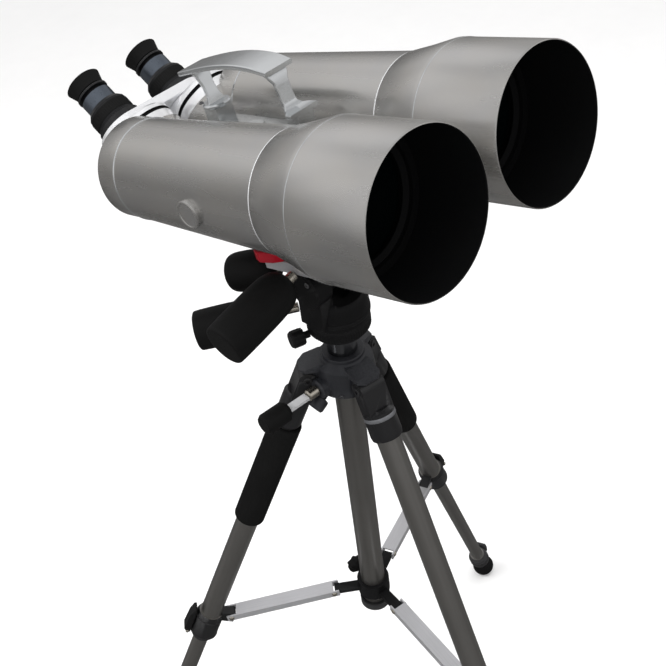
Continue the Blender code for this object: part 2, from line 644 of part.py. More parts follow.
def leg_lower(name, leg):
    """Lower tube with the ball foot, cut flat at the floor."""
    parent = pivot("leg_lower_slide_" + name, leg @ move(0, 0, LOCK_LOW))
    lower = solid("leg_lower_" + name, rod(LEG_LOW_R, -FOOT_L, -480, 24),
                  leg, "tube_alloy", parent)
    ball = [(FOOT_R * sin(pi * i / 8) if 0 < i < 8 else 0, -FOOT_L - FOOT_R * cos(pi * i / 8))
            for i in range(9)]
    add(lower, lathe(ball, 24), leg)
    cut(lower, box(both(900), both(900), (-OPT_H - 60, -OPT_H)), STAND)


# ================================================================== spreader
def brace_hub():
    """Ring on the sleeve with three lugs, and its lock knob."""
    parent = pivot("hub_slide", STAND @ move(0, 0, HUB_Z))
    hub = solid("brace_hub", tube(18.0, SLEEVE_R + GAP, HUB_Z - 9, HUB_Z + 11, 28),
                STAND, "head_black", parent)
    for azimuth in LEG_AZIMUTH.values():
        add(hub, box((15.5, HUB_PIVOT_R + 5.5), both(LUG_HALF), both(5.0)),
            facing(azimuth) @ move(0, 0, HUB_Z))
    knob = outward(HUB_KNOB_AZIMUTH, radius=15.2, height=HUB_Z + 1)
    cut(hub, rod(3.4, -6, 12, 16), knob)
    solid("hub_lock_knob", lathe([
        (0, 0), (3.0, 0), (3.0, 9), (4.5, 10), (9.5, 14), (10.5, 18), (9.5, 23), (4, 25),
        (0, 25)], 20), knob, "rubber", pivot("hub_knob_axis", knob))


def brace_arm(name, azimuth):
    """Channel open below; local X runs from the outer pivot towards the hub."""
    frame = (facing(azimuth) @ move(BRACE_OUT_R, 0, BRACE_OUT_Z) @ turn(180, "Z")
             @ turn(-BRACE_RISE, "Y"))
    arm = solid("brace_arm_" + name, box((-5, BRACE_L), both(8.2), (-4.0, 4.5)),
                frame, "brace_alloy", pivot("brace_hinge_" + name, frame))
    inside, past_hub = both(6.4), BRACE_L + 5
    cut(arm, box((-8, past_hub), inside, (-8.0, 2.9)), frame)
    # open the top of the channel at both ends
    cut(arm, box((BRACE_L - 40, past_hub), inside, both(8.0)), frame)
    cut(arm, box((-8, 14.0), inside, both(8.0)), frame)


# ================================================================== build
for side, sign in (("left", 1), ("right", -1)):
    axis = barrel_axis(sign)
    dew_shield(side, axis)
    objective_cone(side, axis)
    objective_lens(side, axis)
    barrel(side, sign, axis)
    rear_housing(side, sign, axis)
    prism(side, axis)
    eyepiece_turret(side, sign)
    eyepiece(side, sign)
bridge_plate()
centre_casting()
carry_handle()

release_clamp()
tilt_block()
for grip in GRIPS:
    clamp_grip(*grip)
pan_yoke()
pan_base()

centre_column()
crank = outward(CRANK_AZIMUTH, radius=0, height=CRANK_Z)
crown(crank)
column_sleeve()
crank_handle(crank)

for name, azimuth in LEG_AZIMUTH.items():
    leg = facing(azimuth) @ move(PIVOT_R, 0, PIVOT_Z) @ turn(-SPLAY, "Y")
    leg_upper(name, leg, pivot("leg_hinge_" + name, leg))
    leg_lever(name, leg)
    leg_middle(name, leg)
    leg_lower(name, leg)
brace_hub()
for name, azimuth in LEG_AZIMUTH.items():
    brace_arm(name, azimuth)

bpy.context.view_layer.update()
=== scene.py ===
"""Looks of the astronomy binoculars: fine meshes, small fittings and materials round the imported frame.

Each piece is built in its own local frame (lengths in mm), stands for one CAD node, and rides on
that node's body.  Turned pieces have local Z along their axis, so grain runs along the real part.
"""
import json
import bpy
import bmesh
from math import sin, cos, tan, pi, radians, degrees, sqrt, atan2, hypot
from mathutils import Matrix, Vector, noise

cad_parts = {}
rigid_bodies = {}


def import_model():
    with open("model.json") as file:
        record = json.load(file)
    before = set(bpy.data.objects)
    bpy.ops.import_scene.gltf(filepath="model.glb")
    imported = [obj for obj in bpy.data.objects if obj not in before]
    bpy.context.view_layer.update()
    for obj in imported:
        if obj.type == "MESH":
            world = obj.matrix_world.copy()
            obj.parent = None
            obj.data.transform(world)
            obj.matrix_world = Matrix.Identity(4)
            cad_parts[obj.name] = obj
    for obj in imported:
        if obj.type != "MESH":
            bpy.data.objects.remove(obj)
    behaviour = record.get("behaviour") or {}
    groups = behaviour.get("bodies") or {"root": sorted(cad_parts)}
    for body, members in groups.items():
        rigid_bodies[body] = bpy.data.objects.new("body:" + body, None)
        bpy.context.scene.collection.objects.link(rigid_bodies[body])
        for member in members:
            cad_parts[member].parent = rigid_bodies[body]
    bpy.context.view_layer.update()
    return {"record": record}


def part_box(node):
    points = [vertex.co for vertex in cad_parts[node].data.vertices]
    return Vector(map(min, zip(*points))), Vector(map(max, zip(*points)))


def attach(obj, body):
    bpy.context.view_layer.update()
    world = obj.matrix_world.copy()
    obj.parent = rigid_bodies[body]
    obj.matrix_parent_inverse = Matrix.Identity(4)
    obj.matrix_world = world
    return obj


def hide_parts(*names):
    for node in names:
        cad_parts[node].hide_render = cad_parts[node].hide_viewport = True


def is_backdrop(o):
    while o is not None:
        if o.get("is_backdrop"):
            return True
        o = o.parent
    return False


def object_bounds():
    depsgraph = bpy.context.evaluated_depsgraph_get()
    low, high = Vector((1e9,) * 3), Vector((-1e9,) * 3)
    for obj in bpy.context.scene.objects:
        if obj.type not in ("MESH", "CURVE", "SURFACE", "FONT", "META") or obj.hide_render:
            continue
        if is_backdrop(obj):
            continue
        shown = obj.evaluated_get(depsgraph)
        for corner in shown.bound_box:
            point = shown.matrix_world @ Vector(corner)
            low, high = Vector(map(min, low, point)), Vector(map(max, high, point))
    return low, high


for ob in list(bpy.data.objects):
    bpy.data.objects.remove(ob, do_unlink=True)
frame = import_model()
COL = bpy.context.scene.collection
RECORD = frame["record"]
BODY_OF = {n: b for b, ns in RECORD["behaviour"]["bodies"].items() for n in ns}
SLOT_OF = {s["node"]: s["material_slot"] for s in RECORD["subparts"]}
MM = 0.001
SEG = 2.5                           # facets round a turned piece, as a share of the drawn count


# ------------------------------------------------------------------ materials
def finish(name, base, rough, metal=0.0, grain=(1, 1, 1), size=4.0, vary=0.10, bump=0.12, bump_size=0.5,
           depth=0.05, patch=0.05, warm=0.0, edge=0.0, coat=0.0, spec=0.5, sheen=0.0, rough_vary=0.08, lines=0.0):
    """Procedural finish: grain noise, wide patches, a fine bump, and lighter edges, which are wear on the black parts
    and a painted highlight on the cast alloy.  Sizes in mm.
    """
    m = bpy.data.materials.new(name)
    m.use_nodes = True
    N, L = m.node_tree.nodes, m.node_tree.links
    b = N["Principled BSDF"]
    b.inputs["Metallic"].default_value = metal
    b.inputs["Coat Weight"].default_value = coat
    b.inputs["Coat Roughness"].default_value = 0.12
    b.inputs["Specular IOR Level"].default_value = spec
    b.inputs["Sheen Weight"].default_value = sheen
    tc = N.new("ShaderNodeTexCoord")

    def tex(scale, detail=4.0, stretch=(1, 1, 1)):
        mp = N.new("ShaderNodeMapping")
        mp.inputs["Scale"].default_value = [s * 1000.0 / scale for s in stretch]
        t = N.new("ShaderNodeTexNoise")
        t.inputs["Scale"].default_value = 1.0
        t.inputs["Detail"].default_value = detail
        t.inputs["Roughness"].default_value = 0.6
        L.new(tc.outputs["Object"], mp.inputs["Vector"])
        L.new(mp.outputs["Vector"], t.inputs["Vector"])
        return t

    def remap(src, a, c, lo, hi):
        r = N.new("ShaderNodeMapRange")
        r.inputs["From Min"].default_value, r.inputs["From Max"].default_value = a, c
        r.inputs["To Min"].default_value, r.inputs["To Max"].default_value = lo, hi
        L.new(src, r.inputs["Value"])
        return r.outputs["Result"]

    g = tex(size, 5.0, grain)
    w = tex(55.0, 2.0)
    ramp = N.new("ShaderNodeValToRGB")
    ramp.color_ramp.elements[0].position, ramp.color_ramp.elements[1].position = 0.3, 0.7
    ramp.color_ramp.elements[0].color = (*[c * (1 - vary) for c in base], 1)
    ramp.color_ramp.elements[1].color = (*[min(1, c * (1 + vary)) for c in base], 1)
    L.new(g.outputs["Fac"], ramp.inputs["Fac"])
    tint = N.new("ShaderNodeValToRGB")
    tint.color_ramp.elements[0].position, tint.color_ramp.elements[1].position = 0.35, 0.68
    tint.color_ramp.elements[0].color = (1 - patch, 1 - patch, 1 - patch, 1)
    tint.color_ramp.elements[1].color = (1 + warm, 1 + warm * 0.3, 1 - warm, 1)
    L.new(w.outputs["Fac"], tint.inputs["Fac"])
    mul = N.new("ShaderNodeMix")
    mul.data_type, mul.blend_type = "RGBA", "MULTIPLY"
    mul.inputs["Factor"].default_value = 1.0
    L.new(ramp.outputs["Color"], mul.inputs[6])
    L.new(tint.outputs["Color"], mul.inputs[7])
    colour = mul.outputs[2]
    # lighter colour on pointy edges: worn edges on the black parts, a painted highlight on the cast alloy
    if edge:
        geo = N.new("ShaderNodeNewGeometry")
        edge_wear_and_glint = N.new("ShaderNodeMath")
        edge_wear_and_glint.operation = "MULTIPLY"
        L.new(remap(geo.outputs["Pointiness"], 0.53, 0.62, 0.0, edge), edge_wear_and_glint.inputs[0])
        L.new(remap(g.outputs["Fac"], 0.35, 0.6, 0.2, 1.0), edge_wear_and_glint.inputs[1])
        e = N.new("ShaderNodeMix")
        e.data_type = "RGBA"
        e.inputs[7].default_value = (*[min(0.7, c * 2.2 + 0.10) for c in base], 1)
        L.new(edge_wear_and_glint.outputs[0], e.inputs["Factor"])
        L.new(colour, e.inputs[6])
        colour = e.outputs[2]
    L.new(colour, b.inputs["Base Color"])
    L.new(remap(g.outputs["Fac"], 0.3, 0.7, max(0.02, rough - rough_vary), min(1.0, rough + rough_vary)), b.inputs["Roughness"])
    f = tex(bump_size, 2.0, grain if lines else (1, 1, 1))
    bp = N.new("ShaderNodeBump")
    bp.inputs["Strength"].default_value = bump
    bp.inputs["Distance"].default_value = depth * MM
    L.new(f.outputs["Fac"], bp.inputs["Height"])
    L.new(bp.outputs["Normal"], b.inputs["Normal"])
    return m


ALONG = (1, 1, 0.03)                # grain drawn out along the piece's axis
LOOKS = {
    "silver_paint": dict(base=(0.52, 0.515, 0.505), rough=0.27, metal=0.92, grain=(1, 1, 0.12), size=22.0, vary=0.02,
                         bump=0.0, bump_size=14.0, depth=0.01, patch=0.03, warm=0.025, rough_vary=0.02, coat=0.15),
    "bright_alloy": dict(base=(0.88, 0.885, 0.90), rough=0.22, metal=0.62, size=1.2, vary=0.04, bump=0.05, bump_size=0.4,
                         depth=0.01, patch=0.03, rough_vary=0.05),
    # cast alloy: its lighter edges (edge) are a painted highlight along the rims of handle and casting
    "cast_alloy": dict(base=(0.68, 0.70, 0.71), rough=0.19, metal=0.92, size=9.0, vary=0.02, edge=0.7, bump=0.0, bump_size=4.0,
                       depth=0.01, patch=0.03, rough_vary=0.02),
    "black_anodised": dict(base=(0.007, 0.0072, 0.008), rough=0.42, metal=0.35, grain=(1, 1, 0.2), size=1.5, vary=0.15,
                           bump=0.10, bump_size=0.3, depth=0.02, edge=0.25),
    "grey_anodised": dict(base=(0.13, 0.15, 0.18), rough=0.34, metal=0.9, size=1.5, vary=0.08, bump=0.08, bump_size=0.3,
                          depth=0.02),
    "rubber": dict(base=(0.0055, 0.0055, 0.0055), rough=0.56, size=1.0, vary=0.18, bump=0.32, bump_size=0.8, depth=0.05,
                   patch=0.12, spec=0.13),
    "head_black": dict(base=(0.0055, 0.0055, 0.0058), rough=0.46, metal=0.0, size=1.4, vary=0.2, bump=0.30, bump_size=0.9,
                       depth=0.04, edge=0.10, patch=0.1, spec=0.14),
    "red_plastic": dict(base=(0.30, 0.003, 0.012), rough=0.34, size=2.0, vary=0.06, bump=0.08, bump_size=0.9, depth=0.02,
                        spec=0.2),
    "tube_alloy": dict(base=(0.28, 0.272, 0.258), rough=0.30, metal=0.92, grain=ALONG, size=3.0, vary=0.03, bump=0.02,
                       bump_size=3.0, depth=0.01, rough_vary=0.02, lines=1.0),
    "brace_alloy": dict(base=(0.66, 0.66, 0.68), rough=0.40, metal=0.75, grain=(0.04, 1, 1), size=1.4, vary=0.06, bump=0.2,
                        bump_size=0.8, depth=0.02, lines=1.0),
    "crown_grey": dict(base=(0.022, 0.023, 0.027), rough=0.40, metal=0.3, size=1.6, vary=0.15, bump=0.35, bump_size=0.8,
                       depth=0.04, edge=0.12),
    "foam": dict(base=(0.006, 0.006, 0.006), rough=0.92, size=1.2, vary=0.35, bump=0.9, bump_size=0.9, depth=0.18, spec=0.08,
                 patch=0.15),
    "steel": dict(base=(0.62, 0.58, 0.50), rough=0.24, metal=1.0, grain=(1, 1, 8), size=2.0, vary=0.08, bump=0.1,
                  bump_size=0.3, depth=0.01),
    "hood_black": dict(base=(0.0035, 0.0036, 0.0038), rough=0.62, size=1.6, vary=0.2, bump=0.2, bump_size=1.2, depth=0.03,
                       spec=0.10),
    "screw": dict(base=(0.30, 0.30, 0.31), rough=0.30, metal=1.0, size=0.8, vary=0.1, bump=0.1, bump_size=0.3, depth=0.01),
    "collar_black": dict(base=(0.007, 0.007, 0.0078), rough=0.38, size=1.6, vary=0.12, bump=0.15, bump_size=0.5, depth=0.03,
                         edge=0.3),
    "knuckle_grey": dict(base=(0.22, 0.225, 0.24), rough=0.35, metal=0.7, size=1.6, vary=0.1, bump=0.2, bump_size=0.6,
                         depth=0.03, edge=0.3),
    "prism": dict(base=(0.10, 0.12, 0.12), rough=0.06, size=3.0, vary=0.1, bump=0.0),
    "dark_chrome": dict(base=(0.16, 0.165, 0.175), rough=0.20, metal=1.0, grain=ALONG, size=2.0, vary=0.1, bump=0.05),
}
_made = {}


def look(key):
    if key not in _made:
        _made[key] = coated_glass() if key == "glass" else finish("finish_" + key, **LOOKS[key])
    return _made[key]


def coated_glass():
    """Dark coated lens: a faint green painted sheen in the base colour rises towards grazing angles, beside the
    coating's green specular tint.
    """
    m = bpy.data.materials.new("finish_glass")
    m.use_nodes = True
    N, L = m.node_tree.nodes, m.node_tree.links
    b = N["Principled BSDF"]
    b.inputs["Roughness"].default_value = 0.03
    b.inputs["Specular IOR Level"].default_value = 0.06
    # painted sheen: the base colour turns faintly green towards grazing angles
    lw = N.new("ShaderNodeLayerWeight")
    lw.inputs["Blend"].default_value = 0.35
    r = N.new("ShaderNodeValToRGB")
    r.color_ramp.elements[0].color = (0.0008, 0.0010, 0.0012, 1)
    r.color_ramp.elements[1].color = (0.002, 0.004, 0.004, 1)
    L.new(lw.outputs["Facing"], r.inputs["Fac"])
    L.new(r.outputs["Color"], b.inputs["Base Color"])
    b.inputs["Specular Tint"].default_value = (0.45, 0.9, 0.65, 1)
    t = N.new("ShaderNodeTexNoise")
    t.inputs["Scale"].default_value = 35.0
    mr = N.new("ShaderNodeMapRange")
    mr.inputs["To Min"].default_value, mr.inputs["To Max"].default_value = 0.02, 0.06
    L.new(t.outputs["Fac"], mr.inputs["Value"])
    L.new(mr.outputs["Result"], b.inputs["Roughness"])
    return m


# ------------------------------------------------------------------ the design's dimensions, as packed
AXIS_X, AXIS_Y = -34.6, 52.2          # column axis in the world frame
OPT_H = 1013.4                      # height of the optical axis level over the floor
AIM_UP = 13.406                     # degrees the barrels point above the horizon
AXIS_BACK = 184.8                   # column axis behind the front rims, along the barrels
# barrels
HALF_SPACING = 69.0                 # barrel axis from the middle plane
HOOD_R, HOOD_L, HOOD_WALL = 62.1, 79.8, 1.5
CONE_L = 51.8
BODY_R_FRONT, BODY_R_REAR, BODY_END = 50.4, 44.0, 319.5
CAP_L = 27.0                        # rear housing behind the rear seam
LENS_R = 52.3
GAP = 0.3
# eyepiece group, inclined 45 degrees
EYE_TILT = 45.0
EYE_X, EYE_T = 35.0, -276.0         # eyepiece axis: across, and up the inclined plane
TUR_X, TUR_T, TUR_R = 38.0, -251.5, 32.0
SEAT_N, DRUM_TOP_N, TUR_TOP_N, PLATE_TOP_N, BODY_N = 262.0, 281.5, 289.7, 300.0, 307.3
# head
TILT_Z = -130.0                     # tilt axis below the optical axis level, on the column axis
ROLL_ZB = -104.5                    # side-tilt axis height in the binocular frame
GRIP_R = 19.5
# tripod
SPLAY = 24.07
LEG_AZ = {"right": 139.4, "front": 259.4, "rear": 19.4}
PIVOT_R, PIVOT_Z = 37.1, -243.0
LEG_UP_R, LEG_MID_R, LEG_LOW_R = 11.9, 8.85, 7.0
COLLAR_L = 388.0                    # upper lock collar along the leg
LOW_COLLAR_L = 783.0
FOOT_L, FOOT_R = 828.6, 16.0
HUB_Z = -576.0
LUG_L, LUG_IN = 370.0, 24.0         # outer pivot of the brace arm on the leg
HUB_PIVOT_R = 40.0
SLEEVE_R, COLUMN_R = 13.5, 11.2
EAR = 13.4                          # half width of the leg's hinge block
TONGUE = 6.0                        # half width of the crown tongue inside it
CRANK_AZ, CRANK_Z = 174.0, -249.0


# ------------------------------------------------------------------ frames
def T(x, y, z):
    return Matrix.Translation(Vector((x, y, z)) * MM)


WORLD = T(AXIS_X, AXIS_Y, OPT_H)                      # column axis at optical level
BINO = WORLD @ Matrix.Rotation(radians(-AIM_UP), 4, "X") @ T(0, -AXIS_BACK, 0)
RX = Matrix.Rotation
ALONG_Y = RX(radians(-90), 4, "X")                    # local Z runs along +Y
ALONG_X = RX(radians(90), 4, "Y")                     # local Z runs along +X


def aim(origin, direction):
    """Frame at origin (mm) whose local Z runs along direction."""
    q = Vector(direction).normalized().to_track_quat("Z", "Y")
    return Matrix.Translation(Vector(origin) * MM) @ q.to_matrix().to_4x4()


def inclined(x, t, n=0.0):
    """Frame on the 45 degree eyepiece plane: local Z runs up the eyepiece axis."""
    a = radians(EYE_TILT)
    y = n * sin(a) - t * cos(a)
    z = n * cos(a) + t * sin(a)
    return T(x, y, z) @ RX(-a, 4, "X")


class Spot:
    """A joint's frame, kept only for placing pieces."""
    def __init__(self, matrix):
        self.matrix_world = matrix


def pivot(name, matrix):
    return Spot(matrix)


# ------------------------------------------------------------------ mesh makers (mm in, metres out)
def done(bm, smooth=32.0):
    bmesh.ops.remove_doubles(bm, verts=bm.verts, dist=1e-6)
    bmesh.ops.recalc_face_normals(bm, faces=bm.faces)
    me = bpy.data.meshes.new("m")
    bm.to_mesh(me)
    bm.free()
    if smooth:
        me.shade_smooth()
        me.set_sharp_from_angle(angle=radians(smooth))
    return me


def lathe(profile, steps=32):
    """Turned body round local Z from (radius, height) points."""
    bm = bmesh.new()
    vs = [bm.verts.new((r * MM, 0, z * MM)) for r, z in profile]
    es = [bm.edges.new((a, b)) for a, b in zip(vs, vs[1:])]
    if not (profile[0][0] == 0 and profile[-1][0] == 0):
        es.append(bm.edges.new((vs[-1], vs[0])))
    steps = max(24, 4 * round(steps * SEG / 4))
    bmesh.ops.spin(bm, geom=vs + es, cent=(0, 0, 0), axis=(0, 0, 1), dvec=(0, 0, 0),
                   angle=2 * pi, steps=steps, use_merge=True, use_duplicate=False)
    return done(bm)


def rounded(profile, passes=3, keep=2):
    """Cuts the corners of a profile so that a moulded part is soft all along, holding its first and last points."""
    for _ in range(passes):
        out = list(profile[:keep])
        for p, q in zip(profile[keep - 1:-keep], profile[keep:]):
            out.append((p[0] * 0.75 + q[0] * 0.25, p[1] * 0.75 + q[1] * 0.25))
            out.append((p[0] * 0.25 + q[0] * 0.75, p[1] * 0.25 + q[1] * 0.75))
        out += list(profile[-1:])
        profile = out
    return profile


def rod(r, z0, z1, steps=24, chamfer=0.0):
    c = chamfer
    if c:
        return lathe([(0, z0), (r - c, z0), (r, z0 + c), (r, z1 - c), (r - c, z1), (0, z1)], steps)
    return lathe([(0, z0), (r, z0), (r, z1), (0, z1)], steps)


def tube(r1, r0, z0, z1, steps=24):
    return lathe([(r0, z0), (r1, z0), (r1, z1), (r0, z1)], steps)


def box(x0, x1, y0, y1, z0, z1):
    bm = bmesh.new()
    bmesh.ops.create_cube(bm, size=1.0)
    for v in bm.verts:
        v.co = Vector((x0 if v.co.x < 0 else x1, y0 if v.co.y < 0 else y1,
                       z0 if v.co.z < 0 else z1)) * MM
    return done(bm, 0)


def plate(outline, z0, z1):
    """Flat plate from an outline in local XY."""
    bm = bmesh.new()
    f = bm.faces.new([bm.verts.new((x * MM, y * MM, z0 * MM)) for x, y in outline])
    ext = bmesh.ops.extrude_face_region(bm, geom=[f])
    bmesh.ops.translate(bm, vec=(0, 0, (z1 - z0) * MM),
                        verts=[g for g in ext["geom"] if isinstance(g, bmesh.types.BMVert)])
    return done(bm, 25)


def arc(cx, cy, r, a0, a1, n):
    return [(cx + r * cos(radians(a0 + (a1 - a0) * i / n)),
             cy + r * sin(radians(a0 + (a1 - a0) * i / n))) for i in range(n + 1)]


PIECES = {}


def solid(name, mesh, matrix, key, parent=None):
    o = bpy.data.objects.new(name + "_skin", mesh)
    COL.objects.link(o)
    o.matrix_world = matrix
    PIECES[name] = o
    return o


def detail(name, mesh, matrix, key, body, slot=None, bevel=0.0):
    """A small fitting that the frame has no node for; it rides on a named body."""
    o = bpy.data.objects.new(name, mesh)
    COL.objects.link(o)
    o.matrix_world = matrix
    mesh.materials.clear()
    mesh.materials.append(look(key))
    if bevel:
        soften(o, bevel)
    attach(o, body)
    slot or (key if key in {m["slot"] for m in RECORD["materials"]} else "head_black")
    return o


def soften(o, width, segments=2, angle=35):
    m = o.modifiers.new("edge", "BEVEL")
    m.width = width * MM
    m.segments = segments
    m.limit_method = "ANGLE"
    m.angle_limit = radians(angle)
    m.use_clamp_overlap = True
    m.harden_normals = False
    w = o.modifiers.new("normals", "WEIGHTED_NORMAL")
    w.keep_sharp = True


TOOLS = []


def boolean(target, mesh, matrix, op):
    """Union or difference with a tool body, removed once the mesh is final."""
    t = bpy.data.objects.new("tool", mesh)
    t.matrix_world = matrix
    t.hide_render = True
    COL.objects.link(t)
    TOOLS.append(t)
    m = target.modifiers.new(op.lower(), "BOOLEAN")
    m.operation = op
    m.solver = "EXACT"
    m.object = t
    return t


def add(target, mesh, matrix):
    return boolean(target, mesh, matrix, "UNION")


def cut(target, mesh, matrix):
    return boolean(target, mesh, matrix, "DIFFERENCE")


# ------------------------------------------------------------------ joint frames
root = pivot("tripod_axis", WORLD)
column_p = pivot("column_slide", WORLD @ T(0, 0, -230))
pan_p = pivot("pan_axis", WORLD @ T(0, 0, -215))
tilt_p = pivot("tilt_axis", WORLD @ T(0, 0, TILT_Z) @ RX(radians(-AIM_UP), 4, "X"))
TILT_YB = AXIS_BACK - TILT_Z * sin(radians(AIM_UP))   # tilt axis in the binocular frame
TILT_ZB = TILT_Z * cos(radians(AIM_UP))
roll_p = pivot("roll_axis", BINO @ T(0, TILT_YB, ROLL_ZB))

# ================================================================== binoculars
body_slope = (BODY_R_FRONT - BODY_R_REAR) / (BODY_END - HOOD_L - CONE_L)
CONE_END = HOOD_L + CONE_L


def body_r(y):
    return BODY_R_FRONT - body_slope * (y - CONE_END)


for side, sx in (("left", 1), ("right", -1)):
    X = sx * HALF_SPACING
    axis = BINO @ T(X, 0, 0) @ ALONG_Y
    # dew shield: plain black-lined tube with a rounded front lip
    solid("dew_shield_" + side, lathe([
        (HOOD_R - HOOD_WALL, 0.6), (HOOD_R - 0.9, 0), (HOOD_R - 0.4, 0.2), (HOOD_R, 0.9),
        (HOOD_R, HOOD_L - GAP), (HOOD_R - HOOD_WALL, HOOD_L - GAP)], 48),
        axis, "silver_paint", roll_p)
    # cone: front spigot and lens cell, then the taper down to the body tube
    solid("objective_cone_" + side, lathe([
        (54.0, 66.0), (HOOD_R - HOOD_WALL - GAP, 66.0), (HOOD_R - HOOD_WALL - GAP, HOOD_L),
        (HOOD_R, HOOD_L), (HOOD_R, HOOD_L + 4), (HOOD_R - 5.5, HOOD_L + 26),
        (BODY_R_FRONT + 0.9, CONE_END - 1.2), (BODY_R_FRONT + 0.2, CONE_END - 0.2),
        (BODY_R_FRONT - 3.0, CONE_END - 0.2), (50.5, HOOD_L + 26), (50.5, 86.2), (53.0, 86.2),
        (53.0, 72.0), (54.0, 72.0)], 48), axis, "silver_paint", roll_p)
    # cemented doublet, modelled as one lens body
    R, E = 210.0, LENS_R
    sag = lambda r: R - sqrt(R * R - r * r)
    front = [(E * i / 16, 72.5 + sag(E * i / 16)) for i in range(17)]
    back = [(E * i / 16, 85.9 - sag(E * i / 16) * 0.45) for i in range(16, -1, -1)]
    solid("objective_lens_" + side, lathe(front + back, 40), axis, "glass", roll_p)
    # main tube
    tubeo = solid("barrel_" + side, lathe([
        (BODY_R_FRONT - 2.4, CONE_END + 0.1), (BODY_R_FRONT, CONE_END + 0.1),
        (BODY_R_REAR, BODY_END - 0.2), (BODY_R_REAR - 2.4, BODY_END - 0.2)], 48),
        axis, "silver_paint", roll_p)
    # round cap on the outer side of the tube
    yc, zc, rc = 213.0, -3.0, 12.2
    add(tubeo, rod(rc, body_r(yc) - 1.2, body_r(yc) + 3.4, 24, 0.8),
        BINO @ T(X, yc, zc) @ ALONG_X @ RX(pi if sx < 0 else 0, 4, "X"))
    # rear housing: cap plus the inclined round seat for the eyepiece turret
    env = [(BODY_R_REAR + 0.4 + body_slope * 40, BODY_END - 40), (BODY_R_REAR + 0.4, BODY_END)]
    rear = solid("rear_housing_" + side, lathe([
        (0, BODY_END + 3), (BODY_R_REAR - 3.2, BODY_END + 3), (BODY_R_REAR - 3.2, BODY_END + 0.1),
        (BODY_R_REAR, BODY_END + 0.1), (BODY_R_REAR, BODY_END + CAP_L - 3),
        (BODY_R_REAR - 1.0, BODY_END + CAP_L - 0.9), (BODY_R_REAR - 3.2, BODY_END + CAP_L),
        (0, BODY_END + CAP_L)], 48), axis, "silver_paint", roll_p)
    seat = BINO @ inclined(sx * TUR_X, TUR_T)
    add(rear, rod(TUR_R + 1.6, SEAT_N - 30, SEAT_N, 40), seat)
    cut(rear, lathe([(0, BODY_END - 70), (BODY_R_REAR + 0.5 + body_slope * 70, BODY_END - 70),
                     (BODY_R_REAR + 0.5, BODY_END - 0.2), (0, BODY_END - 0.2)], 48), axis)
    cut(rear, rod(TUR_R + 0.8, SEAT_N, SEAT_N + 60, 40), seat)
    # erecting prism behind the tube mouth, in its own pocket
    cut(rear, box(-17, 17, -17, 17, BODY_END - 5, BODY_END + 20), axis)
    solid("prism_" + side, plate([(-15.5, -15.5), (15.5, -15.5), (15.5, 6), (6, 15.5), (-15.5, 15.5)],
          BODY_END + 1, BODY_END + 19), axis, "glass", roll_p)
    # eyepiece turret: turning drum, neck through the bridge plate, black focuser body
    tur_p = pivot("turret_axis_" + side, seat @ T(0, 0, TUR_TOP_N))
    drum = solid("eyepiece_turret_" + side, lathe([
        (0, SEAT_N + GAP), (TUR_R, SEAT_N + GAP), (TUR_R, SEAT_N + 9.4), (TUR_R - 1.3, SEAT_N + 10),
        (TUR_R - 1.3, SEAT_N + 12.4), (TUR_R, SEAT_N + 13), (TUR_R, DRUM_TOP_N - 3),
        (TUR_R - 3, DRUM_TOP_N), (0, DRUM_TOP_N)], 40), seat, "bright_alloy", tur_p)
    eye = BINO @ inclined(sx * EYE_X, EYE_T)
    P = BODY_N
    add(drum, rod(24.0, SEAT_N + 9, TUR_TOP_N, 32), eye)          # offset boss under the bridge plate
    cut(drum, rod(9.9, TUR_TOP_N - 2.5, P + 25, 24), eye)          # light path under the eyepiece
    add(drum, lathe([(0, TUR_TOP_N - 6), (12.0, TUR_TOP_N - 6), (12.0, PLATE_TOP_N + GAP),
                     (22.6, PLATE_TOP_N + GAP), (22.6, P - 1.6), (21.2, P - 1.0), (21.2, P), (20.3, P + 0.8), (20.3, P + 15.5), (17.6, P + 19), (9.8, P + 19), (9.8, TUR_TOP_N - 2.4), (0, TUR_TOP_N - 2.4)], 32), eye)
    # focus ring (silver band), eyepiece barrel, eye lens, rubber eyecup
    foc_p = pivot("focus_axis_" + side, eye @ T(0, 0, P + 19))
    solid("focus_ring_" + side, tube(15.7, 12.4, P + 19.3, P + 32.5, 28), eye, "grey_anodised", foc_p)
    solid("eyepiece_" + side, lathe([
        (7.0, TUR_TOP_N + 2), (9.4, TUR_TOP_N + 2), (9.4, P + 23.5), (12.0, P + 23.5), (12.0, P + 36.2),
        (16.4, P + 36.2), (16.4, P + 38.2), (12.6, P + 39.0), (12.6, P + 45), (10.4, P + 45), (10.4, P + 40.4),
        (9.0, P + 40.4), (9.0, P + 27), (7.0, P + 27)], 28), eye, "black_anodised", foc_p)
    solid("eye_lens_" + side, lathe([(0, P + 40.7), (10.0, P + 40.7), (10.0, P + 42.4),
                                     (6.0, P + 43.6), (0, P + 44.0)], 24), eye, "glass", foc_p)
    solid("eyecup_" + side, lathe([
        (13.0, P + 39.7), (15.2, P + 39.7), (15.8, P + 43), (17.6, P + 48.6), (18.4, P + 51.2),
        (17.4, P + 52.0), (14.6, P + 49.5), (13.0, P + 46)], 28), eye, "rubber", foc_p)

# bridge plate across both turrets, clearance holes for the two turning necks
bridge = solid("bridge_plate", plate(
    arc(-EYE_X, 2.0, 26.0, 90, 270, 40) + arc(EYE_X, 2.0, 26.0, -90, 90, 40),
    TUR_TOP_N + GAP, PLATE_TOP_N), BINO @ inclined(0, EYE_T), "bright_alloy", roll_p)
for sx in (1, -1):
    cut(bridge, rod(16.6, TUR_TOP_N - 5, PLATE_TOP_N + 5, 28), BINO @ inclined(sx * EYE_X, EYE_T))

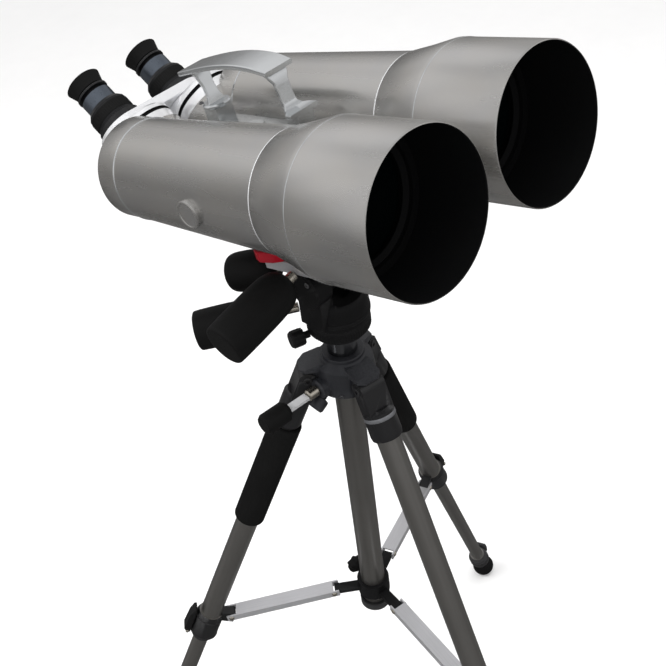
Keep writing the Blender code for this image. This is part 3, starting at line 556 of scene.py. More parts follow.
# central casting between the barrels, with the tripod foot under it
cast = solid("centre_casting", box(-34, 34, 178, 317, -26, 9.0), BINO, "cast_alloy", roll_p)
add(cast, box(-9, 9, 184.5, 199, 0, 29.9), BINO)
add(cast, box(-9.5, 9.5, 291, 308, 0, 30.2), BINO)
add(cast, box(-20, 20, 187, 243, -84.4, -20), BINO)
add(cast, rod(12.5, 2, 13.0, 24, 1.0), BINO @ T(0, 262, 0))
for sx in (1, -1):
    ax = BINO @ T(sx * HALF_SPACING, 0, 0) @ ALONG_Y
    cut(cast, lathe([(0, 150), (body_r(150) + 0.35, 150), (body_r(BODY_END) + 0.35, BODY_END),
                     (body_r(BODY_END) + 0.35, 400), (0, 400)], 48), ax)
    cut(cast, rod(TUR_R + 2.2, SEAT_N - 60, SEAT_N + 60, 40), BINO @ inclined(sx * TUR_X, TUR_T))

# carry handle: flat strap bent into an arch on two feet
def strip(path, th):
    """Outline of a strip of thickness th centred on a path."""
    up, dn = [], []
    for i, p in enumerate(path):
        a = path[max(i - 1, 0)]
        b = path[min(i + 1, len(path) - 1)]
        d = Vector((b[0] - a[0], b[1] - a[1])).normalized()
        n = Vector((-d.y, d.x)) * th / 2
        up.append((p[0] + n.x, p[1] + n.y))
        dn.append((p[0] - n.x, p[1] - n.y))
    return up + dn[::-1]


def spline(ctrl, n=10):
    """Smooth path through control points."""
    out = []
    P = [ctrl[0]] + list(ctrl) + [ctrl[-1]]
    for i in range(1, len(P) - 2):
        p0, p1, p2, p3 = (Vector(q) for q in P[i - 1:i + 3])
        for j in range(n):
            t = j / n
            out.append(0.5 * ((2 * p1) + (p2 - p0) * t + (2 * p0 - 5 * p1 + 4 * p2 - p3) * t * t
                              + (3 * p1 - p0 - 3 * p2 + p3) * t ** 3))
    out.append(Vector(ctrl[-1]))
    return out


def strap(ctrl, halves, th, edge=1.3):
    """Flat strap swept along a path in the YZ plane, its half width running through the values in halves."""
    path = spline(ctrl)
    bm = bmesh.new()
    rings = []
    for i, p in enumerate(path):
        d = (path[min(i + 1, len(path) - 1)] - path[max(i - 1, 0)]).normalized()
        nrm = Vector((-d.y, d.x))
        u = i / (len(path) - 1) * (len(halves) - 1)
        k = min(int(u), len(halves) - 2)
        f = u - k
        f = f * f * (3 - 2 * f)
        hw = halves[k] * (1 - f) + halves[k + 1] * f
        ring = []
        for cx, cz, a0 in ((hw - edge, th / 2 - edge, 0), (-hw + edge, th / 2 - edge, 90),
                           (-hw + edge, -th / 2 + edge, 180), (hw - edge, -th / 2 + edge, 270)):
            for j in range(5):
                an = radians(a0 + 22.5 * j)
                x, h = cx + edge * cos(an), cz + edge * sin(an)
                ring.append(bm.verts.new((x * MM, (p.x + nrm.x * h) * MM, (p.y + nrm.y * h) * MM)))
        rings.append(ring)
    n = len(rings[0])
    for r0, r1 in zip(rings, rings[1:]):
        for j in range(n):
            bm.faces.new((r0[j], r0[(j + 1) % n], r1[(j + 1) % n], r1[j]))
    bm.faces.new(rings[0])
    bm.faces.new(list(reversed(rings[-1])))
    return done(bm, 40)


top = [(200.5 + 119.5 * i / 8, 67.6 + 7.2 * sin(pi * (i / 8) ** 0.8) - 4.2 * i / 8) for i in range(9)]
handle = solid("carry_handle", strap(top, [15.2, 16, 16, 16, 16, 16, 16, 16, 15.0], 4.4), BINO, "cast_alloy", roll_p)
add(handle, strap([(184.6, 32.0), (191.5, 32.1), (197.2, 33.6), (200.4, 38), (202.0, 46), (203.4, 55), (205.4, 62.5), (209, 68.5)],
                  [15.8, 15.0, 10.0, 7.4, 7.0, 7.6, 10.5, 14.0], 4.0), BINO)
add(handle, strap([(309.5, 66.0), (306.5, 57), (303.8, 48), (301.5, 40.5), (299.8, 33.2)], [11.5, 7.5, 6.2, 6.8, 9.5], 4.0), BINO)
add(handle, rod(13.0, 30.4, 34.0, 40, 1.3), BINO @ T(0, 299.5, 0))

# ================================================================== head
# quick-release plate under the foot, receiver with the side-tilt hub
solid("quick_release_plate", box(-25, 25, 186, 244, -90.6, -84.7), BINO, "cast_alloy", roll_p)
recv = solid("side_tilt_platform", box(-44, 44, 184.5, 245.5, -101.5, -90.9), BINO, "brace_alloy", roll_p)
add(recv, rod(8.0, 184.5, 245.5, 24), BINO @ T(0, 0, ROLL_ZB) @ ALONG_Y)
latch_p = pivot("latch_axis", BINO @ T(-33, 240, -86))
solid("release_latch", plate([(-27, 234), (-27, 244.5), (-39, 250), (-50, 248), (-53, 240), (-50, 226), (-45, 218),
                              (-38, 218), (-37, 234)], -90.4, -80.0), BINO, "red_plastic", latch_p)

tiltb = solid("tilt_block", rod(12.0, -16.5, 16.5, 28), BINO @ T(0, TILT_YB, TILT_ZB) @ ALONG_X, "head_black", tilt_p)
add(tiltb, box(-16.5, 16.5, 176, 254, -120.5, -113), BINO)
add(tiltb, box(-16.5, 16.5, 176, 184.1, -120.5, -97), BINO)
add(tiltb, box(-16.5, 16.5, 245.9, 254, -120.5, -97), BINO)


def grip(name, start, end, r, key_parent, stem_r=5.0, grip_from=0.4, dome=8.0):
    """Steel stem with a fat rubber grip, turning on its own axis to clamp."""
    s, e = Vector(start), Vector(end)
    L = (e - s).length
    g = L * grip_from
    body = rounded([(stem_r, g), (r * 0.62, g), (r * 0.9, g + 9), (r, g + 22), (r, L - dome * 0.55), (r * 0.93, L - dome * 0.12),
                    (r * 0.82, L), (0, L)], 3, 1)
    return lathe([(0, 0), (stem_r, 0)] + body, 40), aim(s, e - s)


# side-tilt grip points to the near side, tilt grip and pan grip point back
S = WORLD
g_mesh, g_mat = grip("r", (-45.5, 0, -104.4), (-133, 0, -124.0), 20.5, None, 5.0, 0.10, 6.0)
side_p = pivot("side_grip_axis", S @ g_mat)
solid("side_tilt_grip", g_mesh, S @ g_mat, "rubber", side_p)
A0 = Vector((-17.5, 44.6, -130.0)); A1 = Vector((-38, 93, -148))
g_mesh, g_mat = grip("t", A0, A1, 19.0, None, 4.5, 0.12, 14.0)
tg_p = pivot("tilt_grip_axis", S @ g_mat)
solid("tilt_grip", g_mesh, S @ g_mat, "rubber", tg_p)
C0 = Vector((-25.6, 23.6, -164.0)); C1 = Vector((-94.5, 89.5, -178))
g_mesh, g_mat = grip("p", C0, C1, 19.0, None, 4.5, 0.32, 4.0)
pg_p = pivot("pan_grip_axis", S @ g_mat)
solid("pan_grip", g_mesh, S @ g_mat, "rubber", pg_p)

# pan body: drum with two cheeks round the tilt block
yoke = solid("pan_yoke", lathe([
    (0, -177.3), (29.0, -177.3), (30.0, -176.3), (30.2, -166), (29.4, -158), (27.4, -152.5),
    (24, -149.5), (0, -149.5)], 40), S, "head_black", pan_p)
for x0, x1 in ((-36.5, -17.2), (17.2, 31.0)):
    add(yoke, rod(17.6, x0, x1, 32, 1.5), S @ T(0, 0, TILT_Z) @ ALONG_X)
    add(yoke, box(x0 + 0.02 if x0 > 0 else x0 + 4.0, x1 - 0.02 if x0 < 0 else x1 - 3.0, -14.0, 14.0, -172, TILT_Z), S)
cut(yoke, box(-17.0, 17.0, -60, 60, -150.5, -100), S)
cut(yoke, rod(14.0, -158, -100, 28), S)
solid("pan_base", lathe([(0, -194.5), (22.0, -194.5), (26.5, -193.0), (29.2, -189), (29.6, -180.0), (28.6, -177.6), (0, -177.6)], 36),
      S, "head_black", column_p)
ka = radians(158)
pk_mat = aim((30.4 * cos(ka), 30.4 * sin(ka), -188.0), (cos(ka), sin(ka), 0))
pk_p = pivot("pan_knob_axis", S @ pk_mat)
solid("pan_lock_knob", lathe([(0, 0), (3.5, 0), (3.5, 5), (8.0, 6), (8.5, 9), (8.5, 17), (7, 19), (0, 19)], 20),
      S @ pk_mat, "head_black", pk_p)

# ================================================================== tripod column and crown
solid("centre_column", lathe([
    (0, -600), (COLUMN_R, -600), (COLUMN_R, -219.0), (14.5, -218.6), (14.5, -197.5), (17.5, -196.0), (17.5, -194.8),
    (0, -194.8)], 28), S, "black_anodised", column_p)
crown = solid("crown", lathe([
    (11.6, -264), (23, -264), (28.5, -259), (29.5, -245), (28.0, -230), (21.5, -224.0), (20.7, -223.2), (20.7, -220.2),
    (19.8, -219.3), (11.6, -219.3)], 36), S, "crown_grey", root)
for k, az in LEG_AZ.items():
    w = S @ RX(radians(az), 4, "Z")
    up_xz = w @ Matrix(((1, 0, 0, 0), (0, 0, -1, 0), (0, 1, 0, 0), (0, 0, 0, 1)))
    add(crown, plate([(14, -240), (25.8, -240), (25.8, -233.9), (43.5, -233.9), (44.5, -232.6), (37, -229.6), (23, -225.0),
                      (14, -225.0)], 0.2 - EAR, EAR - 0.2), up_xz)
ca = radians(CRANK_AZ)
cr = aim((0, 0, CRANK_Z), (cos(ca), sin(ca), 0))
add(crown, rod(9.8, 14, 36, 24, 1.5), S @ cr)
# column lock knob, low on the crown
add(crown, lathe([(0, 0), (3.2, 0), (3.2, 12), (7.0, 13), (7.6, 16), (7.6, 23), (6.4, 25), (0, 25)], 20),
    S @ aim((-21.0, 1.5, -256.0), (-1.0, 0.07, -0.55)))
for k, az in LEG_AZ.items():
    w = S @ RX(radians(az), 4, "Z")
    cut(crown, box(26.0, 80, -EAR - 0.4, EAR + 0.4, -300, -234.2), w)
for k, az in LEG_AZ.items():
    w = S @ RX(radians(az), 4, "Z")
    up_xz = w @ Matrix(((1, 0, 0, 0), (0, 0, -1, 0), (0, 1, 0, 0), (0, 0, 0, 1)))
    add(crown, plate([(22, -258), (29, -256), (34, -253.5), (39, -251), (42, -246), (42, -240), (40, -235), (38, -233),
                      (22, -233.0)], -10.5, 10.5), up_xz)
for k, az in LEG_AZ.items():
    w = S @ RX(radians(az), 4, "Z")
    for sy in (-1, 1):
        cut(crown, box(0, 20, -12, 12, -240, -220), w @ T(41.2, sy * (EAR - 3.2), 0) @ RX(radians(45 * sy), 4, "Z"))
cut(crown, rod(11.6, -310, -200, 28), S)
cut(crown, rod(4.4, 14.5, 60, 20), S @ cr)
solid("column_sleeve", lathe([(11.6, -264.3), (SLEEVE_R, -264.3), (SLEEVE_R, -596), (17.0, -596), (17.0, -606),
                              (11.6, -606)], 28), S, "tube_alloy", root)
crank_p = pivot("crank_axis", S @ cr)
crank = solid("crank_shaft", lathe([(0, 17), (4.0, 17), (4.0, 37), (5.6, 37.4), (5.6, 47), (4.6, 48), (0, 48)], 20),
              S @ cr, "steel", crank_p)
fold_p = pivot("crank_fold_axis", S @ cr @ T(0, 0, 52))
arm = solid("crank_arm", box(-4.2, 4.2, -1.6, 1.6, 48.6, 72), S @ cr, "bright_alloy", fold_p)
add(arm, rod(3.2, 70, 84, 16), S @ cr)
solid("crank_knob", lathe([(0, 85), (3.6, 85), (3.6, 72.6), (8.0, 72.6), (10.4, 76), (10.4, 98), (8.6, 101), (0, 101)], 20),
      S @ cr, "rubber", fold_p)

# ================================================================== legs
for k, az in LEG_AZ.items():
    a = radians(az)
    hinge = S @ RX(a, 4, "Z") @ T(PIVOT_R, 0, PIVOT_Z)
    leg = hinge @ RX(radians(-SPLAY), 4, "Y")          # the leg runs along local -Z
    leg_p = pivot("leg_hinge_" + k, leg)
    across = leg @ RX(radians(90), 4, "X")
    pin = rod(8.6, -EAR, EAR, 24)
    pin.transform(RX(radians(90), 4, "X"))
    up = solid("leg_upper_" + k, pin, leg, "tube_alloy", leg_p)
    add(up, box(-8.0, 8.4, -EAR + 0.02, EAR - 0.02, -28, -1), leg)
    socket = ([(12.0, -23), (15.4, -26), (15.8, -50), (15.0, -54)] if k == "front"
              else [(12.0, -23), (14.4, -27), (14.4, -62), (13.2, -65)])
    add(up, lathe([(0, -23)] + socket + [
        (LEG_UP_R, socket[-1][1]), (LEG_UP_R, -COLLAR_L + 19), (13.6, -COLLAR_L + 19), (15.6, -COLLAR_L + 12),
        (15.6, -COLLAR_L - 16), (13.0, -COLLAR_L - 22), (LEG_MID_R + GAP, -COLLAR_L - 22),
        (LEG_MID_R + GAP, -68), (0, -68)], 24), leg)
    add(up, box(-LUG_IN - 4.0, -10.4, -5.6, 5.6, -LUG_L - 9, -LUG_L + 4.0), leg)
    # foam grips on two legs, a short moulded sleeve on the third
    if k != "front":
        solid("leg_foam_" + k, lathe([(LEG_UP_R + GAP, -206), (14.2, -206)]
              + [(14.2 + 2.0 * sin(pi * i / 12), -206 + 2.4 * (1 - cos(pi * i / 12))) for i in range(1, 7)]
              + [(16.2, -66.5 - 139.5 * i / 40) for i in range(38, 1, -1)]
              + [(14.2 + 2.0 * cos(pi * i / 12), -66.5 - 2.4 * (1 - sin(pi * i / 12))) for i in range(0, 7)]
              + [(LEG_UP_R + GAP, -66.5)], 40), leg, "foam", leg_p)
    # lever of the upper lock
    lv_p = pivot("lever_axis_" + k, leg @ T(20.2, 0, -COLLAR_L - 14))
    solid("leg_lever_" + k, plate([(16.4, -COLLAR_L - 16), (19.5, -COLLAR_L - 18), (24.5, -COLLAR_L - 12),
                                   (23.0, -COLLAR_L + 12), (20.0, -COLLAR_L + 22), (17.0, -COLLAR_L + 22),
                                   (16.2, -COLLAR_L + 8)],
                                  -6.5, 6.5),
          leg @ Matrix(((1, 0, 0, 0), (0, 0, -1, 0), (0, 1, 0, 0), (0, 0, 0, 1))), "head_black", lv_p)
    # middle section with the lower lock
    mid_p = pivot("leg_middle_slide_" + k, leg @ T(0, 0, -COLLAR_L))
    mid = solid("leg_middle_" + k, lathe([
        (LEG_LOW_R + GAP, -330), (LEG_MID_R, -330), (LEG_MID_R, -LOW_COLLAR_L + 20), (10.6, -LOW_COLLAR_L + 20),
        (12.8, -LOW_COLLAR_L + 14), (12.8, -LOW_COLLAR_L - 13), (11.0, -LOW_COLLAR_L - 17),
        (LEG_LOW_R + GAP, -LOW_COLLAR_L - 17)], 24), leg, "tube_alloy", mid_p)
    add(mid, box(10, 16.5, -5.5, 5.5, -LOW_COLLAR_L - 14, -LOW_COLLAR_L + 14), leg)
    # lower section with the ball foot, flat where it stands
    low_p = pivot("leg_lower_slide_" + k, leg @ T(0, 0, -LOW_COLLAR_L))
    low = solid("leg_lower_" + k, rod(LEG_LOW_R, -FOOT_L, -480, 24), leg, "tube_alloy", low_p)
    ball = [(FOOT_R * sin(pi * i / 28), -FOOT_L - FOOT_R * cos(pi * i / 28)) for i in range(29)]
    ball = [(r if 0 < i < 28 else 0, z) for i, (r, z) in enumerate(ball)]
    add(low, lathe(ball, 24), leg)
    cut(low, box(-900, 900, -900, 900, -OPT_H - 60, -OPT_H), S)

# spreader: ring on the sleeve, three channel arms
hub_p = pivot("hub_slide", S @ T(0, 0, HUB_Z))
hub = solid("brace_hub", tube(18.0, SLEEVE_R + GAP, HUB_Z - 9, HUB_Z + 11, 28), S, "head_black", hub_p)
for k, az in LEG_AZ.items():
    w = S @ RX(radians(az), 4, "Z") @ T(0, 0, HUB_Z)
    add(hub, box(15.5, HUB_PIVOT_R + 5.2, -5.6, 5.6, -3.8, 1.4), w)
hk = radians(79.4)
hk_mat = aim((15.2 * cos(hk), 15.2 * sin(hk), HUB_Z + 1), (cos(hk), sin(hk), 0))
cut(hub, rod(3.4, -6, 12, 16), S @ hk_mat)
hk_p = pivot("hub_knob_axis", S @ hk_mat)
solid("hub_lock_knob", lathe([(0, 0), (3.0, 0), (3.0, 9), (4.5, 10), (9.5, 14), (10.5, 18), (9.5, 23), (4, 25), (0, 25)], 20),
      S @ hk_mat, "rubber", hk_p)
al = radians(SPLAY)
OUT_R = PIVOT_R + LUG_L * sin(al) - LUG_IN * cos(al)
OUT_Z = PIVOT_Z - LUG_L * cos(al) - LUG_IN * sin(al)
ARM_L = hypot(OUT_R - HUB_PIVOT_R, HUB_Z - OUT_Z)
ARM_UP = atan2(HUB_Z - OUT_Z, OUT_R - HUB_PIVOT_R)
for k, az in LEG_AZ.items():
    # local X runs from the outer pivot towards the hub
    w = S @ RX(radians(az), 4, "Z") @ T(OUT_R, 0, OUT_Z) @ RX(pi, 4, "Z") @ RX(-ARM_UP, 4, "Y")
    arm_p = pivot("brace_hinge_" + k, w)
    b = solid("brace_arm_" + k, box(-5, ARM_L, -8.2, 8.2, -4.0, 4.5), w, "brace_alloy", arm_p)
    cut(b, box(-8, ARM_L + 5, -6.4, 6.4, -8.0, 2.9), w)
    cut(b, box(ARM_L - 6.4, ARM_L + 5, -6.4, 6.4, -8.0, 8.0), w)
    cut(b, box(-8, 6.5, -6.4, 6.4, -8.0, 8.0), w)

# ------------------------------------------------------------------ final meshes
def flute(mesh, n, deep, z0, z1, rmin):
    """Shallow lobes or knurls round local Z, between two heights and outside a radius."""
    for v in mesh.vertices:
        r = hypot(v.co.x, v.co.y) / MM
        if z0 <= v.co.z / MM <= z1 and r > rmin:
            k = 1 - deep * (0.5 + 0.5 * cos(n * atan2(v.co.y, v.co.x))) / r
            v.co.x *= k
            v.co.y *= k


def zones(mesh, keys, pick):
    """Gives each face the finish that pick(x, y, z, radius, outward) names, in mm of the local frame."""
    mesh.materials.clear()
    for key in keys:
        mesh.materials.append(look(key))
    for f in mesh.polygons:
        c = f.center / MM
        r = hypot(c.x, c.y)
        outward = (f.normal.x * c.x + f.normal.y * c.y) / max(r, 1e-6)
        f.material_index = pick(c.x, c.y, c.z, r, outward)


def leg_upper_zone(front):
    end = -23.4 if front else -66.0

    def pick(x, y, z, r, out):
        if z > end:
            return 2
        if front and z > -54.5:
            return 2
        if x < -12.6 and z > -LUG_L - 12 and z < -LUG_L + 8:
            return 2
        return 2 if z < -COLLAR_L + 18.7 else 0
    return pick


def dew_zone(x, y, z, r, out):
    return 1 if (r < HOOD_R - 0.95 and z < HOOD_L) else 0


def cone_zone(x, y, z, r, out):
    return 1 if (out < 0.2 and r < HOOD_R - 1.2 and z < HOOD_L + 8) or (out < 0 and r < 54.5) or z < HOOD_L - 2 else 0


ZONES = {}
for s in ("left", "right"):
    ZONES["dew_shield_" + s] = (["silver_paint", "hood_black"], dew_zone)
    ZONES["objective_cone_" + s] = (["silver_paint", "hood_black"], cone_zone)
    ZONES["eyepiece_turret_" + s] = (["bright_alloy", "black_anodised", "hood_black"],
                                     lambda x, y, z, r, out: 1 if z > PLATE_TOP_N - 2 else
                                     (2 if SEAT_N + 9.6 < z < SEAT_N + 12.8 else 0))
for k in LEG_AZ:
    ZONES["leg_upper_" + k] = (["tube_alloy", "knuckle_grey" if k == "front" else "collar_black", "collar_black"],
                               leg_upper_zone(k == "front"))
    ZONES["leg_middle_" + k] = (["tube_alloy", "collar_black", "collar_black"],
                                lambda x, y, z, r, out: 0 if z > -LOW_COLLAR_L + 19.5 else (2 if x > 12.85 else 1))
    ZONES["leg_lower_" + k] = (["tube_alloy", "rubber"],
                               lambda x, y, z, r, out: 1 if z < -FOOT_L + 15.5 else 0)
ZONES["centre_column"] = (["black_anodised", "dark_chrome"], lambda x, y, z, r, out: 1 if z > -220 else 0)
ZONES["column_sleeve"] = (["tube_alloy", "collar_black"], lambda x, y, z, r, out: 1 if z < -595.5 else 0)
for s in ("side_tilt_grip", "tilt_grip", "pan_grip"):
    ZONES[s] = (["rubber", "steel"], lambda x, y, z, r, out: 1 if r < 5.4 and z < 40 else 0)
PRISMS = ("prism_left", "prism_right")
EDGES = {"carry_handle": 1.1, "bridge_plate": 0.9, "centre_casting": 1.2, "quick_release_plate": 0.8, "side_tilt_platform": 0.8,
         "tilt_block": 0.8, "release_latch": 1.1, "pan_yoke": 0.7, "crown": 0.9, "crank_arm": 0.4, "brace_hub": 0.7,
         "leg_lever_right": 0.9, "leg_lever_front": 0.9, "leg_lever_rear": 0.9,
         "leg_upper_right": 0.5, "leg_upper_front": 0.5, "leg_upper_rear": 0.5,
         "leg_middle_right": 0.4, "leg_middle_front": 0.4, "leg_middle_rear": 0.4,
         "brace_arm_right": 0.45, "brace_arm_front": 0.45, "brace_arm_rear": 0.45,
         "prism_left": 0.4, "prism_right": 0.4, "barrel_left": 0.3, "barrel_right": 0.3}

dg = bpy.context.evaluated_depsgraph_get()
for node, o in PIECES.items():
    me = bpy.data.meshes.new_from_object(o.evaluated_get(dg))
    o.modifiers.clear()
    old = o.data
    o.data = me
    me.name = node + "_skin"
    me.shade_smooth()
    me.set_sharp_from_angle(angle=radians(32))
for t in TOOLS:
    bpy.data.objects.remove(t, do_unlink=True)
for node, o in PIECES.items():
    me = o.data
    if node == "hub_lock_knob":
        flute(me, 6, 2.2, 12, 24, 6.0)
    if node == "pan_lock_knob":
        flute(me, 10, 0.9, 5.5, 18, 6.0)
    if node in ZONES:
        zones(me, *ZONES[node])
    else:
        me.materials.clear()
        me.materials.append(look("prism" if node in PRISMS else SLOT_OF[node]))
    if node in EDGES:
        soften(o, EDGES[node])
    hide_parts(node)
    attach(o, BODY_OF[node])

# every piece has to sit where its node does
bpy.context.view_layer.update()
worst = 0.0
for node, o in PIECES.items():
    lo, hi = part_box(node)
    pts = [o.matrix_world @ v.co for v in o.data.vertices]
    for i in range(3):
        d = max(abs(min(p[i] for p in pts) - lo[i]), abs(max(p[i] for p in pts) - hi[i]))
        worst = max(worst, d)
        if d > 0.003:
            print("BOX", node, i, round(d * 1000, 2), "mm")
print("worst box difference %.2f mm" % (worst * 1000))

# ------------------------------------------------------------------ small fittings
def socket_screw(name, matrix, r, h, body, key="screw"):
    """Cap screw: chamfered head with a six-sided socket."""
    bm = bmesh.new()
    n = 36
    rings = []
    hexr = r * 0.52

    def ring(fn, z):
        return [bm.verts.new((fn(i) * cos(2 * pi * i / n) * MM, fn(i) * sin(2 * pi * i / n) * MM, z * MM)) for i in range(n)]

    def hexf(i):
        a = (2 * pi * i / n) % (pi / 3) - pi / 6
        return hexr * cos(pi / 6) / cos(a)
    rings = [ring(lambda i: r, 0), ring(lambda i: r, h - 0.3), ring(lambda i: r - 0.3, h), ring(hexf, h), ring(hexf, h * 0.35)]
    for a, b in zip(rings, rings[1:]):
        for i in range(n):
            bm.faces.new((a[i], a[(i + 1) % n], b[(i + 1) % n], b[i]))
    bm.faces.new(rings[-1])
    bm.faces.new(list(reversed(rings[0])))
    return detail(name, done(bm, 30), matrix, key, body, "steel" if key == "steel" else "head_black")


def ring_at(r, y, w=0.7, up=0.45):
    return lathe([(r - 0.8, y - w), (r + 0.05, y - w), (r + up * 0.7, y - w * 0.6), (r + up, y), (r + up * 0.7, y + w * 0.6),
                  (r + 0.05, y + w), (r - 0.8, y + w)], 56)


for side, sx in (("left", 1), ("right", -1)):
    axis = BINO @ T(sx * HALF_SPACING, 0, 0) @ ALONG_Y
    # seam rings: lips a little proud of the barrel, in alloy lighter than the barrel paint, a painted highlight along
    # each seam
    detail("seam_highlight_hood_" + side, ring_at(HOOD_R, HOOD_L - 0.15, 0.5, 0.22), axis, "cast_alloy", "binocular")
    detail("seam_highlight_body_" + side, ring_at(BODY_R_FRONT, CONE_END + 0.1, 0.9, 0.55), axis, "bright_alloy", "binocular")
    detail("seam_highlight_rear_" + side, ring_at(BODY_R_REAR, BODY_END, 0.8, 0.75), axis, "cast_alloy", "binocular")
    detail("lens_ring_" + side, lathe([(48.0, 71.6), (51.8, 71.0), (53.6, 70.2), (53.8, 69.2), (52.4, 68.6), (48.0, 70.8)], 48),
           axis, "hood_black", "binocular", "head_black")
    cap = BINO @ T(sx * HALF_SPACING, 213.0, -3.0) @ ALONG_X @ RX(pi if sx < 0 else 0, 4, "X")
    hgt = body_r(213.0) + 3.4
    detail("side_cap_rim_" + side, lathe([(10.0, hgt - 0.4), (11.7, hgt - 0.4), (11.9, hgt + 0.1), (11.4, hgt + 0.45),
                                          (10.3, hgt + 0.45), (10.0, hgt + 0.1)], 40), cap, "silver_paint", "binocular")
    eye = BINO @ inclined(sx * EYE_X, EYE_T)
    P = BODY_N
    knurl = lathe([(20.0, P + 2.6), (20.7, P + 2.8), (21.0, P + 3.4), (21.0, P + 12.6), (20.7, P + 13.2), (20.0, P + 13.4)], 72)
    flute(knurl, 54, 0.6, P + 3.0, P + 13.0, 20.8)
    detail("focuser_knurl_" + side, knurl, eye, "rubber", "turret_" + side)
# handle foot screws
for i, x in enumerate((-9.5, 9.5)):
    socket_screw("handle_screw_rear_%d" % (i + 1), BINO @ T(x, 309.0, 34.5), 2.3, 1.6, "binocular")
    socket_screw("handle_screw_front_%d" % (i + 1), BINO @ T(x, 188.5, 32.1), 2.3, 1.6, "binocular")
# head
for i, (y, z) in enumerate(((-5.5, 11.0),)):
    socket_screw("cheek_screw_right_%d" % (i + 1), WORLD @ T(-36.4, y, TILT_Z + z) @ RX(radians(-90), 4, "Y"), 2.6, 1.1, "pan_head")
    socket_screw("cheek_screw_left_%d" % (i + 1), WORLD @ T(30.9, y, TILT_Z + z) @ RX(radians(90), 4, "Y"), 2.6, 1.1, "pan_head")
socket_screw("latch_screw", BINO @ T(-45.0, 237.0, -80.2), 2.8, 1.4, "latch")
detail("yoke_band", lathe([(29.6, -172.6), (30.4, -172.3), (30.75, -171.6), (30.75, -168.8), (30.4, -168.1), (29.6, -167.8)], 64),
       WORLD, "head_black", "pan_head")
base_grip = lathe([(28.6, -189.4), (29.7, -188.9), (30.1, -188.0), (30.1, -181.6), (29.8, -180.8), (28.6, -180.2)], 96)
flute(base_grip, 72, 0.5, -188.5, -181.0, 29.9)
detail("base_knurl", base_grip, WORLD, "head_black", "column")
# crown: side screws, and the pin heads of the leg hinges
for i, a in enumerate((214.0, 320.0, 80.0)):
    socket_screw("crown_screw_%d" % (i + 1), WORLD @ aim((28.2 * cos(radians(a)), 28.2 * sin(radians(a)), -256.0),
                                                       (cos(radians(a)), sin(radians(a)), -0.25)), 2.2, 1.3, "tripod")
for k, az in LEG_AZ.items():
    leg = WORLD @ RX(radians(az), 4, "Z") @ T(PIVOT_R, 0, PIVOT_Z) @ RX(radians(-SPLAY), 4, "Y")
    for i, s in enumerate((-1, 1)):
        socket_screw("hinge_bolt_%s_%d" % (k, i + 1), leg @ T(0, s * (EAR - 0.1), 0) @ RX(radians(-90 * s), 4, "X"), 4.3, 1.5, "leg_" + k, "collar_black")
    if k == "front":
        detail("front_sleeve_cap", lathe([(12.0, -33.4), (15.3, -33.1), (15.9, -32.3), (15.9, -30.2), (15.6, -29.0),
                                          (15.0, -28.2), (12.0, -27.8)], 64), leg, "knuckle_grey", "leg_front", "head_black")
    # collar bands with a raised light edge, and the lever's pin
    for i, (z, r) in enumerate(((-COLLAR_L + 12.2, 15.6), (-COLLAR_L - 15.8, 15.6))):
        detail("collar_band_%s_%d" % (k, i + 1), lathe([(r - 0.8, z - 0.8), (r + 0.15, z - 0.8), (r + 0.45, z - 0.3),
                                                        (r + 0.45, z + 0.3), (r + 0.15, z + 0.8), (r - 0.8, z + 0.8)], 40),
               leg, "collar_black", "leg_" + k, "head_black")
    detail("lever_pin_" + k, lathe([(0, -8.2), (1.6, -8.2), (2.0, -7.8), (2.0, 7.8), (1.6, 8.2), (0, 8.2)], 20),
           leg @ T(20.2, 0, -COLLAR_L - 14) @ RX(radians(90), 4, "X"), "steel", "lock_" + k)
    LC = LOW_COLLAR_L
    detail("lower_band_" + k, lathe([(12.2, -LC - 9.0), (14.2, -LC - 8.7), (14.8, -LC - 7.6), (14.8, -LC + 6.0),
                                     (14.2, -LC + 7.3), (12.2, -LC + 7.8)], 48), leg, "collar_black", "mid_" + k, "head_black")
    lower_lever = detail("lower_lever_" + k, plate([(13.4, -LC + 18), (17.0, -LC + 18.4), (20.2, -LC + 11), (20.6, -LC - 4),
                                                    (18.4, -LC - 14), (15.4, -LC - 15), (15.0, -LC - 2), (13.6, -LC + 6)], -6.8, 6.8),
                         leg @ Matrix(((1, 0, 0, 0), (0, 0, -1, 0), (0, 1, 0, 0), (0, 0, 0, 1))), "collar_black", "mid_" + k,
                         "head_black")
    soften(lower_lever, 1.2)
    w = WORLD @ RX(radians(az), 4, "Z") @ T(OUT_R, 0, OUT_Z) @ RX(pi, 4, "Z") @ RX(-ARM_UP, 4, "Y")
    for i, (x, s) in enumerate(((0, -1), (0, 1), (ARM_L - 6, -1), (ARM_L - 6, 1))):
        detail("arm_rivet_%s_%d" % (k, i + 1), lathe([(0, 0), (3.0, 0), (3.0, 0.4), (2.6, 1.0), (1.7, 1.5), (0, 1.75)], 28),
               w @ T(x, s * 8.1, 0) @ RX(radians(-90 * s), 4, "X"), "steel", "brace_" + k)

# ------------------------------------------------------------------ floor, light, camera
def floor():
    bm = bmesh.new()
    bmesh.ops.create_grid(bm, x_segments=8, y_segments=8, size=14.0)
    me = bpy.data.meshes.new("studio_floor")
    bm.to_mesh(me)
    bm.free()
    o = bpy.data.objects.new("studio_floor", me)
    COL.objects.link(o)
    o.location = (0, 0, -0.0005)
    m = finish("studio_floor_paint", (0.93, 0.93, 0.93), 0.9, vary=0.01, size=300.0, bump=0.0, spec=0.1, patch=0.01)
    me.materials.append(m)
    o.visible_glossy = False
    o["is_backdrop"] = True


floor()


def softbox(name, loc, target, sx, sy, power, colour=(1, 1, 1)):
    d = bpy.data.lights.new(name, "AREA")
    d.shape = "RECTANGLE"
    d.size, d.size_y, d.energy, d.color = sx, sy, power, colour
    o = bpy.data.objects.new(name, d)
    COL.objects.link(o)
    o.location = loc
    o.rotation_mode = "QUATERNION"
    o.rotation_quaternion = (Vector(target) - Vector(loc)).to_track_quat("-Z", "Y")
    o.visible_glossy = False
    return o


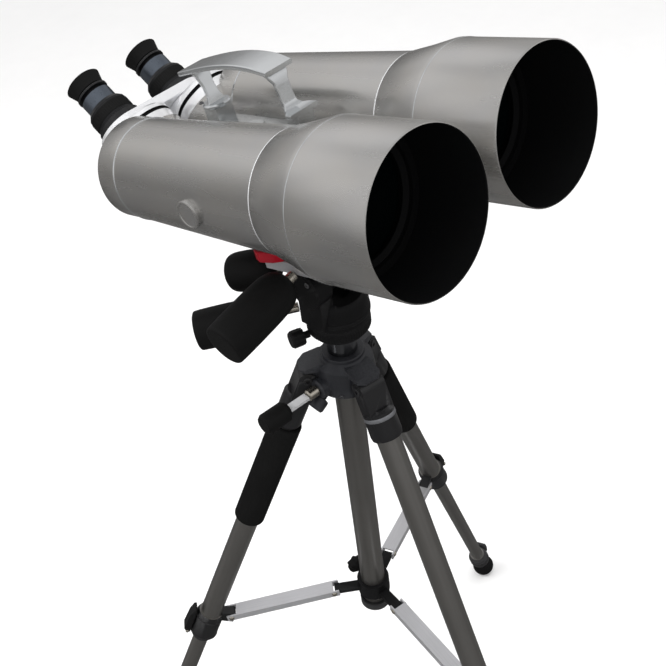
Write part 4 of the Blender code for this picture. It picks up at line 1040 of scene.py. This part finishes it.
softbox("key", (-1.3, 0.7, 2.6), (0, 0, 0.9), 1.5, 1.5, 38)
softbox("fill", (-1.6, -1.9, 1.7), (0, 0, 0.8), 1.4, 1.4, 16)
softbox("top", (0.4, -0.3, 2.9), (0, 0, 0.9), 1.8, 1.8, 22)

world = bpy.data.worlds.new("studio")
bpy.context.scene.world = world
world.use_nodes = True
N, L = world.node_tree.nodes, world.node_tree.links
bg = N["Background"]
tc = N.new("ShaderNodeTexCoord")
sep = N.new("ShaderNodeSeparateXYZ")
L.new(tc.outputs["Generated"], sep.inputs[0])
mr = N.new("ShaderNodeMapRange")
mr.inputs["From Min"].default_value = -1.0
L.new(sep.outputs["Z"], mr.inputs["Value"])
cr_ = N.new("ShaderNodeValToRGB")
e = cr_.color_ramp.elements
e[0].position, e[0].color = 0.0, (0.17, 0.168, 0.165, 1)
e[1].position, e[1].color = 1.0, (1.0, 1.0, 1.0, 1)
for p, c in ((0.40, (0.32, 0.315, 0.31, 1)), (0.55, (0.62, 0.615, 0.61, 1)), (0.72, (1.0, 0.99, 0.985, 1))):
    x = e.new(p)
    x.color = c
L.new(mr.outputs["Result"], cr_.inputs["Fac"])
lp = N.new("ShaderNodeLightPath")
mix = N.new("ShaderNodeMix")
mix.data_type = "RGBA"
L.new(lp.outputs["Is Camera Ray"], mix.inputs["Factor"])
dim = N.new("ShaderNodeMix")
dim.data_type, dim.blend_type = "RGBA", "MULTIPLY"
dim.inputs[7].default_value = (0.86, 0.86, 0.87, 1)
L.new(lp.outputs["Is Glossy Ray"], dim.inputs["Factor"])
L.new(cr_.outputs["Color"], dim.inputs[6])
room = N.new("ShaderNodeTexNoise")
room.inputs["Scale"].default_value = 1.9
room.inputs["Detail"].default_value = 1.5
L.new(tc.outputs["Generated"], room.inputs["Vector"])
shade = N.new("ShaderNodeMapRange")
shade.inputs["From Min"].default_value, shade.inputs["From Max"].default_value = 0.36, 0.64
shade.inputs["To Min"].default_value, shade.inputs["To Max"].default_value = 0.62, 1.12
L.new(room.outputs["Fac"], shade.inputs["Value"])
rooms = N.new("ShaderNodeMix")
rooms.data_type, rooms.blend_type = "RGBA", "MULTIPLY"
L.new(lp.outputs["Is Glossy Ray"], rooms.inputs["Factor"])
L.new(dim.outputs[2], rooms.inputs[6])
L.new(shade.outputs["Result"], rooms.inputs[7])
L.new(rooms.outputs[2], mix.inputs[6])
mix.inputs[7].default_value = (0.97, 0.97, 0.97, 1)
L.new(mix.outputs[2], bg.inputs["Color"])
bg.inputs["Strength"].default_value = 0.85

cam_data = bpy.data.cameras.new("photo_view")
cam_data.lens = 62.0855
cam_data.sensor_width = 36.0
cam_data.clip_start, cam_data.clip_end = 0.05, 60.0
cam = bpy.data.objects.new("photo_view", cam_data)
COL.objects.link(cam)
cam.matrix_world = Matrix(((0.677073, 0.529039, -0.511557, -0.585777), (-0.72836, 0.382383, -0.568574, -0.550071),
                           (-0.105187, 0.757563, 0.644231, 1.501009), (0, 0, 0, 1)))
bpy.context.scene.camera = cam
bpy.context.scene.view_settings.view_transform = "Standard"

bpy.context.view_layer.update()
lo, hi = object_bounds()
